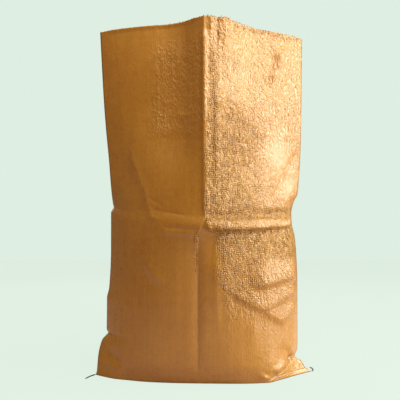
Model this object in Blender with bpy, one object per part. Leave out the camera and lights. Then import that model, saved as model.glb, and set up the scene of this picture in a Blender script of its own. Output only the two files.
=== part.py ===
"""Woven polypropylene sack, 600 x 1000 mm flat, standing open on its sewn bottom.

Metres, +Z up, the front panel faces -Y. The sack is one tube of cloth: a front
and a back panel that share two side folds, closed along a hem at the bottom.
It keeps the creases of its storage folding: a centre crease down each panel
and a waist crease at half its length.
"""
from math import cos, exp, hypot, pi, sin

import bmesh
import bpy
from mathutils import Vector

# Flat sack
FLAT_WIDTH = 0.600
# The standing sack
MOUTH_Z = 0.885
BACK_MOUTH_DIP = 0.045
RIDGE_MOUTH_DIP = 0.007
WAIST_V = 0.380
WALL = 0.0020
BASE = 0.0042
# Bounding box centre of the sack, taken off every point
ORIGIN_X = 0.0043
ORIGIN_Y = -0.0032
# Grid
PANEL_STEPS = 28
FLOOR_ROLL = 0.0030

# Side folds, as (height, x) pairs from the floor to the mouth
LEFT_FOLD = [
    (0.000, -0.2754), (0.010, -0.2718), (0.045, -0.2704), (0.086, -0.2619),
    (0.104, -0.2462), (0.112, -0.2512), (0.193, -0.2512), (0.219, -0.2458),
    (0.318, -0.2417), (0.414, -0.2417), (0.429, -0.2345), (0.483, -0.2417),
    (0.543, -0.2460), (0.629, -0.2536), (0.693, -0.2581), (0.886, -0.2673),
]
RIGHT_FOLD = [
    (0.000, 0.2840), (0.012, 0.2650), (0.031, 0.2523), (0.040, 0.2371),
    (0.055, 0.2459), (0.162, 0.2462), (0.239, 0.2459), (0.315, 0.2427),
    (0.352, 0.2392), (0.388, 0.2314), (0.412, 0.2304), (0.443, 0.2371),
    (0.463, 0.2469), (0.508, 0.2514), (0.595, 0.2570), (0.883, 0.2643),
]
# Where the flat ears begin: the inside ends at these x below these heights
EAR_LEFT_INNER = -0.2440
EAR_LEFT_TOP = 0.108
EAR_RIGHT_INNER = 0.2350
EAR_RIGHT_TOP = 0.060
# Depth of the two side folds, as (height, y) pairs
LEFT_FOLD_Y = [(0.0, -0.036), (0.12, -0.010), (0.40, 0.000), (0.886, -0.016)]
RIGHT_FOLD_Y = [(0.0, -0.003), (0.12, 0.002), (0.40, 0.006), (0.883, 0.036)]
# How far up and down a fold's long run is evened out, past its nips and ears
CALM_REACH = 0.045
NIP_POWER = 7.0
# Places across a panel, and the front panel's depth there in mm at each height
STATIONS = (-1.0, -0.80, -0.50, -0.20, 0.0, 0.20, 0.50, 0.80, 1.0)
FRONT_DEPTHS = [
    (0.000, (-36, -69, -92, -102, -105, -106, -104, -58, -3)),
    (0.050, (-25, -63, -104, -122, -124, -127, -118, -68, 0)),
    (0.120, (-10, -60, -108, -130, -131, -134, -118, -65, 2)),
    (0.300, (-1, -56, -110, -138, -138, -141, -115, -58, 5)),
    (0.384, (0, -52, -108, -146, -160, -149, -112, -54, 6)),
    (0.410, (0, -50, -104, -141, -155, -140, -101, -47, 7)),
    (0.500, (-3, -40, -90, -125, -146, -127, -80, -27, 12)),
    (0.600, (-7, -38, -70, -99, -139, -117, -72, -21, 17)),
    (0.700, (-10, -36, -60, -88, -133, -109, -58, -13, 24)),
    (0.885, (-16, -38, -59, -83, -130, -104, -38, 0, 36)),
]
# Lift of the waist crease at the side folds
WAIST_LIFT_LEFT = 0.044
WAIST_LIFT_RIGHT = 0.020
WAIST_RISE = 0.003

# Heights of the grid rows, before the waist crease's lift
ROWS = [
    0.012, 0.022, 0.031, 0.039, 0.048, 0.060, 0.075, 0.088, 0.098, 0.105,
    0.113, 0.130, 0.155, 0.185, 0.215, 0.245, 0.280, 0.312, 0.340, 0.358,
    0.370, 0.380, 0.390, 0.404, 0.424, 0.450, 0.485, 0.525, 0.570, 0.620,
    0.675, 0.730, 0.785, 0.838,
]

# Bottom seam: a chord under the sack, then the front edge of the right ear
SEAM_LEFT = (-0.268, -0.0370)
SEAM_KINK = (0.1690, -0.0880)
SEAM_RIGHT = (0.2755, -0.0045)
SEAM_INSET = 0.012
THREAD_W = 0.0016
THREAD_H = 0.0012
THREAD_GAP = 0.0003
TAIL_DIAMETER = 0.0030
TAIL_LIFT = 0.0004
TAIL_GAP = 0.0005
# Free thread ends, as (start angle, bend, length)
TAIL_LEFT = (-0.72 * pi, 0.16 * pi, 0.036)
TAIL_RIGHT = (0.36 * pi, 0.30 * pi, 0.034)


def clear_scene():
    """Remove every object of the start-up scene."""
    for item in list(bpy.data.objects):
        bpy.data.objects.remove(item, do_unlink=True)


def smooth(x, low, high):
    """0 below low, 1 above high, smooth between."""
    s = min(1.0, max(0.0, (x - low) / (high - low)))
    return s * s * (3.0 - 2.0 * s)


def along(table, x):
    """Value of a table of pairs at x, straight between its entries."""
    if x <= table[0][0]:
        return table[0][1]
    for (x0, y0), (x1, y1) in zip(table, table[1:]):
        if x <= x1:
            return y0 + (y1 - y0) * (x - x0) / (x1 - x0)
    return table[-1][1]


def calm_along(table, z):
    """Value of a side fold's table at z, with its nips and ears evened out."""
    total = 0.0
    weight = 0.0
    for k in range(-15, 16):
        step = 0.005 * k
        share = exp(-((step / CALM_REACH) ** 2))
        total += share * along(table, min(MOUTH_Z, max(0.0, z + step)))
        weight += share
    return total / weight


def swell(depths, t):
    """Depth at t on one row: a smooth curve without overshoot on each side of the crease."""
    low = 0 if t < 0.0 else len(STATIONS) // 2
    xs = STATIONS[low:low + len(STATIONS) // 2 + 1]
    ys = depths[low:low + len(STATIONS) // 2 + 1]
    rises = [(ys[k + 1] - ys[k]) / (xs[k + 1] - xs[k]) for k in range(len(xs) - 1)]
    slopes = [rises[0]]
    for before, after in zip(rises, rises[1:]):
        same = before * after > 0.0
        slopes.append(2.0 * before * after / (before + after) if same else 0.0)
    slopes.append(rises[-1])
    k = 0
    while k < len(xs) - 2 and t > xs[k + 1]:
        k += 1
    gap = xs[k + 1] - xs[k]
    s = (t - xs[k]) / gap
    rise = (2.0 * s**3 - 3.0 * s**2 + 1.0) * ys[k] + (3.0 * s**2 - 2.0 * s**3) * ys[k + 1]
    return rise + gap * ((s**3 - 2.0 * s**2 + s) * slopes[k] + (s**3 - s**2) * slopes[k + 1])


def front_depth(t, v):
    """Depth of the front panel at t on the row v."""
    for (v0, row0), (v1, row1) in zip(FRONT_DEPTHS, FRONT_DEPTHS[1:]):
        if v <= v1:
            share = (v - v0) / (v1 - v0)
            return 0.001 * ((1.0 - share) * swell(row0, t) + share * swell(row1, t))
    return 0.001 * swell(FRONT_DEPTHS[-1][1], t)


def back_profile(t, v):
    """How far the back panel has reached its full depth at t, from 0 to 1."""
    edge = 1.0 - abs(t)
    belly = 1.0 - (1.0 - edge) ** 2.4
    crease = exp(-((1.0 - edge) / 0.10) ** 2)
    return belly - 0.07 * crease * smooth(v, 0.37, 0.45)


def waist_hat(v):
    """1 at the waist crease and 0 well above and below it."""
    if v < WAIST_V:
        return smooth(v, 0.10, WAIST_V)
    return 1.0 - smooth(v, WAIST_V, 0.72)


def height(t, v, back):
    """Height of the point at t on the row v."""
    if back:
        mouth = MOUTH_Z - BACK_MOUTH_DIP * (1.0 - abs(t) ** 2.0)
    else:
        mouth = MOUTH_Z - RIDGE_MOUTH_DIP * exp(-(t / 0.12) ** 2)
    side = WAIST_LIFT_LEFT if t < 0.0 else WAIST_LIFT_RIGHT
    if back:
        side = 0.6 * WAIST_LIFT_LEFT + 0.6 * WAIST_LIFT_RIGHT * 0.5 * (1.0 + t)
        side = (1.0 - abs(t)) * side
        ends = WAIST_LIFT_LEFT if t < 0.0 else WAIST_LIFT_RIGHT
        side += abs(t) * ends
    lift = side * abs(t) ** 1.6 * waist_hat(v)
    return v * mouth / MOUTH_Z + lift


def length_of(points):
    """Length of an open chain of points."""
    total = 0.0
    for (x0, y0), (x1, y1) in zip(points, points[1:]):
        total += hypot(x1 - x0, y1 - y0)
    return total


def back_depth(left, right, nips, v):
    """Depth that gives the back panel the flat width between its two folds."""
    width = FLAT_WIDTH
    low, high = 0.0, 0.30
    for _ in range(24):
        mid = 0.5 * (low + high)
        chain = [back_point(left, right, nips, mid, -1.0 + 0.1 * k, v) for k in range(21)]
        if length_of(chain) > width:
            high = mid
        else:
            low = mid
    return 0.93 * low


def back_point(left, right, nips, depth, t, v):
    """Plan position on the back panel."""
    s = 0.5 * (1.0 + t)
    calm_left = left[0] - nips[0]
    calm_right = right[0] - nips[1]
    nip = nips[0] if t < 0.0 else nips[1]
    x = calm_left + (calm_right - calm_left) * s + nip * abs(t) ** NIP_POWER
    y = left[1] + (right[1] - left[1]) * s + depth * back_profile(t, v)
    return (x, y)


def front_point(left, right, nips, crease_x, inset, t, v):
    """Plan position on the front panel."""
    edge = 1.0 - abs(t)
    fold = left if t < 0.0 else right
    nip = nips[0] if t < 0.0 else nips[1]
    calm = fold[0] - nip
    x = calm + (crease_x - calm) * edge + nip * abs(t) ** NIP_POWER
    depths_edge = front_depth(-1.0 if t < 0.0 else 1.0, v)
    y = front_depth(t, v) + (fold[1] - depths_edge) * abs(t) ** 3 + inset * min(1.0, 4.0 * edge)
    y -= WAIST_RISE * edge ** 0.5 * exp(-((v - WAIST_V) / 0.014) ** 2) * min(1.0, 6.0 * abs(t))
    return (x, y)


def fold_points(z_left, z_right):
    """Plan positions of the two side folds."""
    left = (along(LEFT_FOLD, z_left), along(LEFT_FOLD_Y, z_left))
    right = (along(RIGHT_FOLD, z_right), along(RIGHT_FOLD_Y, z_right))
    nips = (left[0] - calm_along(LEFT_FOLD, z_left), right[0] - calm_along(RIGHT_FOLD, z_right))
    return left, right, nips


def reach(point_at, side, limit):
    """The place t on a panel's left or right side where it comes to x = limit."""
    if side * point_at(side)[0] <= side * limit:
        return side
    near, far = 0.0, side
    for _ in range(24):
        mid = 0.5 * (near + far)
        if side * point_at(mid)[0] > side * limit:
            far = mid
        else:
            near = mid
    return near


def spread(s, low, high):
    """The grid position s, from -1 to 1, moved into the span from low to high."""
    return s * (high if s > 0.0 else -low)


def section(v, inset=0.0, low_x=-1.0, high_x=1.0):
    """One closed row of points round the sack, between the sides low_x and high_x."""
    left, right, nips = fold_points(height(-1.0, v, False), height(1.0, v, False))
    depth = back_depth(left, right, nips, v) - inset
    crease_x = 0.003 - 0.016 * smooth(WAIST_V + 0.03 - v, 0.0, 0.05)

    def front(t):
        return front_point(left, right, nips, crease_x, inset, t, v)

    def back(t):
        return back_point(left, right, nips, depth, t, v)

    row = []
    low, high = reach(front, -1.0, low_x), reach(front, 1.0, high_x)
    for k in range(PANEL_STEPS + 1):
        t = spread(-1.0 + 2.0 * k / PANEL_STEPS, low, high)
        row.append((*front(t), height(t, v, False)))
    low, high = reach(back, -1.0, low_x), reach(back, 1.0, high_x)
    for k in range(1, PANEL_STEPS):
        t = spread(1.0 - 2.0 * k / PANEL_STEPS, low, high)
        row.append((*back(t), height(t, v, True)))
    return row


def inward(row, distance):
    """The row moved in by a distance, square to itself in plan."""
    count = len(row)
    moved = []
    for k, (x, y, z) in enumerate(row):
        x0, y0, _ = row[k - 1]
        x1, y1, _ = row[(k + 1) % count]
        a = Vector((x - x0, y - y0)).normalized()
        b = Vector((x1 - x, y1 - y)).normalized()
        side_a = Vector((-a.y, a.x))
        side_b = Vector((-b.y, b.x))
        mitre = (side_a + side_b).normalized()
        reach = distance / max(0.35, mitre.dot(side_a))
        moved.append((x + mitre.x * reach, y + mitre.y * reach, z))
    return moved


def lining(v, distance):
    """The row inside the wall, which stays out of the two flat bottom ears."""
    low_x = EAR_LEFT_INNER if height(-1.0, v, False) < EAR_LEFT_TOP else -1.0
    high_x = EAR_RIGHT_INNER if height(1.0, v, False) < EAR_RIGHT_TOP else 1.0
    return inward(section(v, 0.0, low_x, high_x), distance)


def material(name, colour, roughness):
    """A plain surface material."""
    made = bpy.data.materials.new(name)
    made.use_nodes = True
    shader = made.node_tree.nodes["Principled BSDF"]
    shader.inputs["Base Color"].default_value = (*colour, 1.0)
    shader.inputs["Roughness"].default_value = roughness
    return made


def add_object(name, bm, surface):
    """Turn a bmesh into a named object and return it."""
    bmesh.ops.recalc_face_normals(bm, faces=bm.faces)
    data = bpy.data.meshes.new(name)
    bm.to_mesh(data)
    bm.free()
    data.materials.append(surface)
    made = bpy.data.objects.new(name, data)
    bpy.context.scene.collection.objects.link(made)
    return made


def place(point):
    """A point in the row's frame."""
    return (point[0] - ORIGIN_X, point[1] - ORIGIN_Y, point[2])


def ring_faces(bm, low, high):
    """Join two closed rows of vertices with quads."""
    count = len(low)
    for k in range(count):
        j = (k + 1) % count
        bm.faces.new((low[k], low[j], high[j], high[k]))


def cap_faces(bm, ring):
    """Close a row with strips from its front half to its back half."""
    count = len(ring)
    half = count // 2
    for k in range(half):
        front = (ring[k], ring[k + 1])
        back = (ring[(count - k - 1) % count], ring[(count - k) % count])
        corners = []
        for vertex in (*front, *back):
            if vertex not in corners:
                corners.append(vertex)
        bm.faces.new(corners)


def flat_at(row, z):
    """The row with every point at one height."""
    return [(x, y, z) for x, y, _ in row]


def build_sack(surface):
    """The sack body as one closed shell with an open mouth."""
    bm = bmesh.new()
    outer = [flat_at(section(0.0, 0.5 * FLOOR_ROLL), 0.0)]
    outer.append(flat_at(section(0.0), FLOOR_ROLL))
    outer += [section(v) for v in ROWS]
    outer.append(section(MOUTH_Z))
    inner = [flat_at(lining(0.0, 2.0 * WALL), BASE)]
    inner += [lining(v, WALL) for v in ROWS]
    inner.append(lining(MOUTH_Z, WALL))
    outer_rings = [[bm.verts.new(place(p)) for p in row] for row in outer]
    inner_rings = [[bm.verts.new(place(p)) for p in row] for row in inner]
    for low, high in zip(outer_rings, outer_rings[1:]):
        ring_faces(bm, low, high)
    for low, high in zip(inner_rings, inner_rings[1:]):
        ring_faces(bm, low, high)
    ring_faces(bm, outer_rings[-1], inner_rings[-1])
    cap_faces(bm, outer_rings[0])
    cap_faces(bm, inner_rings[0])
    return add_object("sack_body", bm, surface)


def seam_path(steps=24):
    """Plan path of the stitch line, with the kink at the right ear rounded."""
    ends = [Vector(SEAM_LEFT), Vector(SEAM_KINK), Vector(SEAM_RIGHT)]
    first = (ends[1] - ends[0]).normalized()
    second = (ends[2] - ends[1]).normalized()
    radius = 0.020
    start = ends[0] + Vector((-first.y, first.x)) * SEAM_INSET + first * 0.012
    stop = ends[2] + Vector((-second.y, second.x)) * SEAM_INSET - second * 0.010
    corner = ends[1] + Vector((0.004, SEAM_INSET))
    enter = corner - first * radius
    leave = corner + second * radius
    path = [start]
    for k in range(1, steps):
        path.append(start.lerp(enter, k / steps))
    for k in range(9):
        s = k / 8
        path.append((1 - s) ** 2 * enter + 2 * s * (1 - s) * corner + s * s * leave)
    for k in range(1, 9):
        path.append(leave.lerp(stop, k / 8))
    return path


def bar_along(name, path, width, z_low, z_high, surface):
    """A closed bar of rectangular section along a plan path."""
    bm = bmesh.new()
    rings = []
    for k, point in enumerate(path):
        before = path[max(0, k - 1)]
        after = path[min(len(path) - 1, k + 1)]
        run = (after - before).normalized()
        side = Vector((-run.y, run.x)) * (0.5 * width)
        a = point - side
        b = point + side
        corners = [(a.x, a.y, z_low), (b.x, b.y, z_low), (b.x, b.y, z_high), (a.x, a.y, z_high)]
        rings.append([bm.verts.new(place(c)) for c in corners])
    for low, high in zip(rings, rings[1:]):
        ring_faces(bm, low, high)
    bm.faces.new(rings[0])
    bm.faces.new(rings[-1])
    return add_object(name, bm, surface)


def build_groove(target, path):
    """Cut the channel that the seam thread lies in."""
    width = THREAD_W + 2.0 * THREAD_GAP
    top = THREAD_H + 2.0 * THREAD_GAP
    run = (path[0] - path[1]).normalized()
    last = (path[-1] - path[-2]).normalized()
    longer = [path[0] + run * THREAD_GAP] + path[1:-1] + [path[-1] + last * THREAD_GAP]
    cutter = bar_along("groove_cutter", longer, width, -0.002, top, target.data.materials[0])
    cutter.hide_render = True
    cutter.display_type = "WIRE"
    cut = target.modifiers.new("groove", "BOOLEAN")
    cut.operation = "DIFFERENCE"
    cut.solver = "EXACT"
    cut.object = cutter
    return cutter


def tube_along(name, points, diameter, surface):
    """A round cord along a chain of points, with closed ends."""
    curve = bpy.data.curves.new(name, "CURVE")
    curve.dimensions = "3D"
    curve.bevel_depth = 0.5 * diameter
    curve.bevel_resolution = 2
    curve.use_fill_caps = True
    spline = curve.splines.new("POLY")
    spline.points.add(len(points) - 1)
    for node, point in zip(spline.points, points):
        node.co = (*place(point), 1.0)
    curve.materials.append(surface)
    made = bpy.data.objects.new(name, curve)
    bpy.context.scene.collection.objects.link(made)
    return made


def arc_chain(start, turn, bend, length, steps):
    """Points of a level cord that starts at an angle and bends evenly as it goes."""
    points = [start]
    angle = turn
    step = length / steps
    for _ in range(steps):
        x, y, z = points[-1]
        points.append((x + cos(angle) * step, y + sin(angle) * step, z))
        angle += bend / steps
    return points


def build_tails(surface):
    """The two free ends of the seam thread, at the tips of the ears."""
    level = 0.5 * TAIL_DIAMETER + TAIL_LIFT
    ends = (
        ("thread_tail_left", LEFT_FOLD[0][1], LEFT_FOLD_Y[0][1], TAIL_LEFT),
        ("thread_tail_right", RIGHT_FOLD[0][1], RIGHT_FOLD_Y[0][1], TAIL_RIGHT),
    )
    for name, x, y, (turn, bend, length) in ends:
        start = (x + TAIL_GAP * cos(turn), y + TAIL_GAP * sin(turn), level)
        tube_along(name, arc_chain(start, turn, bend, length, 10), TAIL_DIAMETER, surface)


def main():
    """Build every piece of the sack."""
    clear_scene()
    woven = material("woven_pp", (0.66, 0.31, 0.067), 0.32)
    thread = material("sewing_thread", (0.015, 0.085, 0.13), 0.75)
    sack = build_sack(woven)
    path = seam_path()
    build_groove(sack, path)
    bar_along("seam_thread", path, THREAD_W, THREAD_GAP, THREAD_GAP + THREAD_H, thread)
    build_tails(thread)


main()
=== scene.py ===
"""Visible model of a woven polypropylene sack that stands open on its sewn bottom.

The sack is one tube of woven tape with a laminated film: a front and a back
panel that share two side folds, closed at the bottom by a turned-over hem and
one run of chain stitch. Metres, +Z up, the front panel faces -Y. Shapes are
worked out in the maker's coordinates of the part's source and moved by its
origin at the end.
"""
import logging
from dataclasses import dataclass, field
from enum import Enum, IntEnum
from math import cos, pi, radians, sin

import bpy
import numpy as np
from bpy.types import ID, Material, Node, NodeSocket, Object, World
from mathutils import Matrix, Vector


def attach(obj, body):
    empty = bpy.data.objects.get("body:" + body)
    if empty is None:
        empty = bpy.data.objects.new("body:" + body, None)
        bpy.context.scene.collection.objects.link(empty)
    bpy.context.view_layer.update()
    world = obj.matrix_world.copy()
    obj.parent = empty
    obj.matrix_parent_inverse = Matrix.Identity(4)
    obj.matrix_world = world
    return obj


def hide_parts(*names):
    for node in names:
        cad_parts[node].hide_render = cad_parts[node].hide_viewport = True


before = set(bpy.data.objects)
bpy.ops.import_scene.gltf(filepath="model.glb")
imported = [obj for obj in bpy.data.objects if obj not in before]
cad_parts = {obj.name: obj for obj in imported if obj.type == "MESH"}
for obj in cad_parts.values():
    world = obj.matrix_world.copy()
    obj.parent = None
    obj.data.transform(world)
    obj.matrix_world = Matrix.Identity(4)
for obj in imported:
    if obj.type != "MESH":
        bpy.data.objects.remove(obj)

LOG = logging.getLogger("sack")

# The part's source takes this origin off every point.
ORIGIN = np.array([0.0043, -0.0032, 0.0])
SACK_NODE = "sack_body"
SEAM_NODE = "seam_thread"
FLAT_SIZE = (0.600, 0.970)
LEFT_EAR_TIP = (-0.2754, -0.0360)
RIGHT_EAR_TIP = (0.2840, -0.0030)
MM = 0.001
FULL_TURN = 2.0 * pi
UP = np.array([0.0, 0.0, 1.0])

Array = np.ndarray
Pair = tuple[float, float]
Pairs = tuple[Pair, ...]
Triple = tuple[float, float, float]
Colour = Triple


class Panel(Enum):
    """The two sides of the tube of cloth."""

    FRONT = "front_panel"
    BACK = "back_panel"


class Fold(Enum):
    """How the cloth moves across a fold line."""

    ROUND = "round"
    SHARP = "sharp"
    LEAN = "lean"


class Pattern(IntEnum):
    """First seeds of the noise patterns."""

    FRONT_CRUMPLE = 5
    BACK_CRUMPLE = 9
    BACK_SHARE = 31
    CRINKLE_SHARE = 32
    SCATTER_SHARE = 33
    GRAIN_BORDER = 35
    STRIP_BORDER = 36
    SCATTER = 41
    CUT_EDGE = 71
    FRINGE = 80


# ---- Numbers ----


def ease(x: Array, low: float, high: float) -> Array:
    """Rise smoothly from 0 at low to 1 at high.

    Args:
        x: Values to grade.
        low: Where the rise starts.
        high: Where the rise ends.

    Returns:
        The grade of each value, from 0 to 1.
    """
    s = np.clip((np.asarray(x, float) - low) / (high - low), 0.0, 1.0)
    return s * s * (3.0 - 2.0 * s)


def hump(x: Array, middle: float, width: float, power: float = 2.0) -> Array:
    """1 at the middle, and falling away to both sides over about the width."""
    return np.exp(-(((x - middle) / width) ** power))


def through(knots: Pairs, x: Array) -> Array:
    """Follow a table of positions and values with a curve that never overshoots it."""
    xs, ys = np.array(knots, float).T
    return monotone(xs, ys[:, None], np.asarray(x, float))[:, 0]


def monotone(xs: Array, ys: Array, x: Array) -> Array:
    """Monotone cubic curves through the columns of a table.

    Args:
        xs: Rising positions of the table's rows.
        ys: Table with one row per position and one column per curve.
        x: Positions to read.

    Returns:
        One row per position read, one column per curve.
    """
    gaps = np.diff(xs)[:, None]
    rise = np.diff(ys, axis=0) / gaps
    slope = np.zeros_like(ys)
    if len(xs) > 2:
        same = rise[:-1] * rise[1:] > 0.0
        w1 = 2.0 * gaps[1:] + gaps[:-1]
        w2 = gaps[1:] + 2.0 * gaps[:-1]
        safe0 = np.where(same, rise[:-1], 1.0)
        safe1 = np.where(same, rise[1:], 1.0)
        slope[1:-1] = np.where(same, (w1 + w2) / (w1 / safe0 + w2 / safe1), 0.0)
    slope[0] = rise[0]
    slope[-1] = rise[-1]
    k = np.clip(np.searchsorted(xs, x) - 1, 0, len(xs) - 2)
    h = gaps[k]
    s = np.clip((x - xs[k])[:, None] / h, 0.0, 1.0)
    a = 2.0 * s**3 - 3.0 * s**2 + 1.0
    b = s**3 - 2.0 * s**2 + s
    c = 3.0 * s**2 - 2.0 * s**3
    d = s**3 - s**2
    return a * ys[k] + b * h * slope[k] + c * ys[k + 1] + d * h * slope[k + 1]


# Large odd numbers that mix a column, a row, a seed and their sum
MIXERS = (374761393, 668265263, 982451653, 1274126177)


def lattice(i: Array, j: Array, seed: int) -> Array:
    """Fixed pseudo-random numbers from 0 to 1 on a whole-number grid.

    Args:
        i: Column numbers.
        j: Row numbers.
        seed: Which set of numbers to use.

    Returns:
        One number for each grid place.
    """
    n = i.astype(np.int64) * MIXERS[0] + j.astype(np.int64) * MIXERS[1] + seed * MIXERS[2]
    n = (n ^ (n >> 13)) * MIXERS[3]
    n = n ^ (n >> 16)
    return (n & 0xFFFFFF) / float(0xFFFFFF)


def gradient_noise(u: Array, v: Array, seed: int) -> Array:
    """Smooth noise of about -1 to 1 with features one unit across.

    Args:
        u: Positions across, in feature sizes.
        v: Positions up, in feature sizes.
        seed: Which pattern to use.

    Returns:
        The noise at each position.
    """
    i, j = np.floor(u), np.floor(v)
    fu, fv = u - i, v - j
    su = fu**3 * (fu * (6.0 * fu - 15.0) + 10.0)
    sv = fv**3 * (fv * (6.0 * fv - 15.0) + 10.0)
    total = np.zeros_like(fu)
    for di in (0, 1):
        for dj in (0, 1):
            turn = FULL_TURN * lattice(i + di, j + dj, seed)
            dot = np.cos(turn) * (fu - di) + np.sin(turn) * (fv - dj)
            wu = su if di else 1.0 - su
            wv = sv if dj else 1.0 - sv
            total += wu * wv * dot
    return 1.6 * total


def crackle(u: Array, v: Array, seed: int) -> Array:
    """Flat patches that meet in sharp creases, as in film that was crumpled.

    Args:
        u: Positions across, in patch sizes.
        v: Positions up, in patch sizes.
        seed: Which pattern to use.

    Returns:
        Height at each position, about -1 to 1.
    """
    wu = u + 0.45 * gradient_noise(0.9 * u, 0.9 * v, seed + 11)
    wv = v + 0.45 * gradient_noise(0.9 * u + 5.2, 0.9 * v - 1.7, seed + 12)
    first = 1.0 - 2.2 * np.abs(gradient_noise(wu, wv, seed))
    second = 1.0 - 2.2 * np.abs(gradient_noise(1.9 * wu + 3.1, 1.9 * wv, seed + 1))
    return 0.65 * first + 0.35 * second


def unit(vectors: Array) -> Array:
    """The vectors at length one."""
    return vectors / np.maximum(np.linalg.norm(vectors, axis=-1, keepdims=True), 1e-12)


def points_at(at: Array, reached: Array, line: Array) -> Array:
    """Points along a line, where reached says how far each of its own points is."""
    return np.stack([np.interp(at, reached, line[:, k]) for k in range(3)], 1)


def slab_faces(rows: int, columns: int) -> tuple[Array, Array, Array]:
    """Faces of two like grids of corners that close to a thin slab.

    Args:
        rows: Rows of each grid.
        columns: Columns of each grid.

    Returns:
        Faces of the first grid, of the second and of the rim between them.
    """
    number = np.arange(rows * columns).reshape(rows, columns)
    a, b = number[:-1, :-1].ravel(), number[:-1, 1:].ravel()
    c, d = number[1:, 1:].ravel(), number[1:, :-1].ravel()
    skin = np.stack([a, b, c, d], 1)
    edge = np.concatenate([number[0, :], number[1:, -1], number[-1, -2::-1], number[-2:0:-1, 0]])
    following = np.roll(edge, -1)
    other = rows * columns
    rim = np.stack([edge, edge + other, following + other, following], 1)
    return skin, skin[:, ::-1] + other, rim


def tube_faces(first: int, rings: int, sides: int) -> list[list[int]]:
    """Faces of a closed tube whose rings of corners follow each other.

    Args:
        first: Number of the first corner.
        rings: How many rings there are.
        sides: Corners of each ring.

    Returns:
        The faces along the tube, then its two ends.
    """
    last = first + (rings - 1) * sides
    faces = []
    for ring in range(first, last, sides):
        for j in range(sides):
            a, b = ring + j, ring + (j + 1) % sides
            faces.append([a, b, b + sides, a + sides])
    return faces + [list(range(first, first + sides))[::-1], list(range(last, last + sides))]


def strand_rings(middle: Array, side: Array, face: Array, size: Array, phase: Array,
                 sides: int, groove: float) -> Array:
    """Rings of points round a strand of three twisted plies.

    Args:
        middle: The strand's middle line.
        side: Half its width across, as a direction at each point of the line.
        face: Half its height, the same way.
        size: Share of that width and height at each point.
        phase: How far the plies have turned at each point.
        sides: Points of each ring.
        groove: Depth of the grooves between the plies, as a share of the size.

    Returns:
        One row of points for each point of the line.
    """
    turn = np.linspace(0.0, FULL_TURN, sides, endpoint=False)
    plies = 1.0 - groove + groove * np.cos(3.0 * (turn[None, :] - phase[:, None]))
    out = side[:, None] * np.cos(turn)[None, :, None] + face[:, None] * np.sin(turn)[None, :, None]
    return middle[:, None] + (size[:, None] * plies)[..., None] * out


# ---- Fold lines in the cloth ----


@dataclass(frozen=True)
class FoldLine:
    """One crease, pleat or soft fold, drawn on the panel seen from the front.

    Places are (across, up) in millimetres in the maker's coordinates. The
    height is along the cloth's outward normal, so a negative one is a valley.
    A leaning fold falls slowly to the left of its line's direction and fast to
    the right. The fade is the share of the line over which each end dies away.
    """

    kind: Fold
    height: float
    width: float
    fade: float
    places: Pairs
    slow_side: float = 3.4
    sharp_tip: float = 0.02
    sharp_fall: float = 1.3

    def lift(self, x: Array, z: Array) -> Array:
        """How far this fold moves the cloth.

        Args:
            x: Places across, in metres.
            z: Places up, in metres.

        Returns:
            Distance along the normal, in metres.
        """
        chain = np.array(self.places, float) * MM
        runs = np.linalg.norm(np.diff(chain, axis=0), axis=1)
        best = np.full(x.shape, np.inf)
        at = np.zeros(x.shape)
        side = np.zeros(x.shape)
        start = 0.0
        for (x0, z0), (x1, z1), run in zip(chain, chain[1:], runs):
            dx, dz = (x1 - x0) / run, (z1 - z0) / run
            rx, rz = x - x0, z - z0
            s = np.clip(rx * dx + rz * dz, 0.0, run)
            away = np.hypot(rx - s * dx, rz - s * dz)
            near = away < best
            best = np.where(near, away, best)
            at = np.where(near, start + s, at)
            side = np.where(near, dx * rz - dz * rx, side)
            start += run
        grade = at / runs.sum()
        ends = ease(grade, 0.0, self.fade) * (1.0 - ease(grade, 1.0 - self.fade, 1.0))
        width = self.width * MM
        if self.kind is Fold.SHARP:
            shape = np.exp(-np.sqrt((best / width) ** 2 + self.sharp_tip) * self.sharp_fall)
        elif self.kind is Fold.LEAN:
            shape = hump(best, 0.0, np.where(side > 0.0, self.slow_side * width, width))
        else:
            shape = hump(best, 0.0, width)
        return self.height * MM * shape * ends


def fold_lines(*rows: tuple) -> tuple[FoldLine, ...]:
    """Fold lines from rows of kind, height, width, fade and the places."""
    return tuple(FoldLine(*row[:4], row[4:]) for row in rows)


@dataclass(frozen=True)
class Zone:
    """A part of the cloth with soft borders, each a span (start, end) in metres.

    Its share grows over the left and the low span, and falls over the right and
    the high one.
    """

    left: Pair | None = None
    right: Pair | None = None
    low: Pair | None = None
    high: Pair | None = None

    def share(self, x: Array, z: Array) -> Array:
        """How far each place is inside the zone.

        Args:
            x: Places across.
            z: Places up.

        Returns:
            Shares from 0 to 1.
        """
        share = np.ones(np.shape(x))
        for at, rise, fall in ((x, self.left, self.right), (z, self.low, self.high)):
            if rise is not None:
                share = share * ease(at, *rise)
            if fall is not None:
                share = share * (1.0 - ease(at, *fall))
        return share


# ---- The sack's form ----


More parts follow.
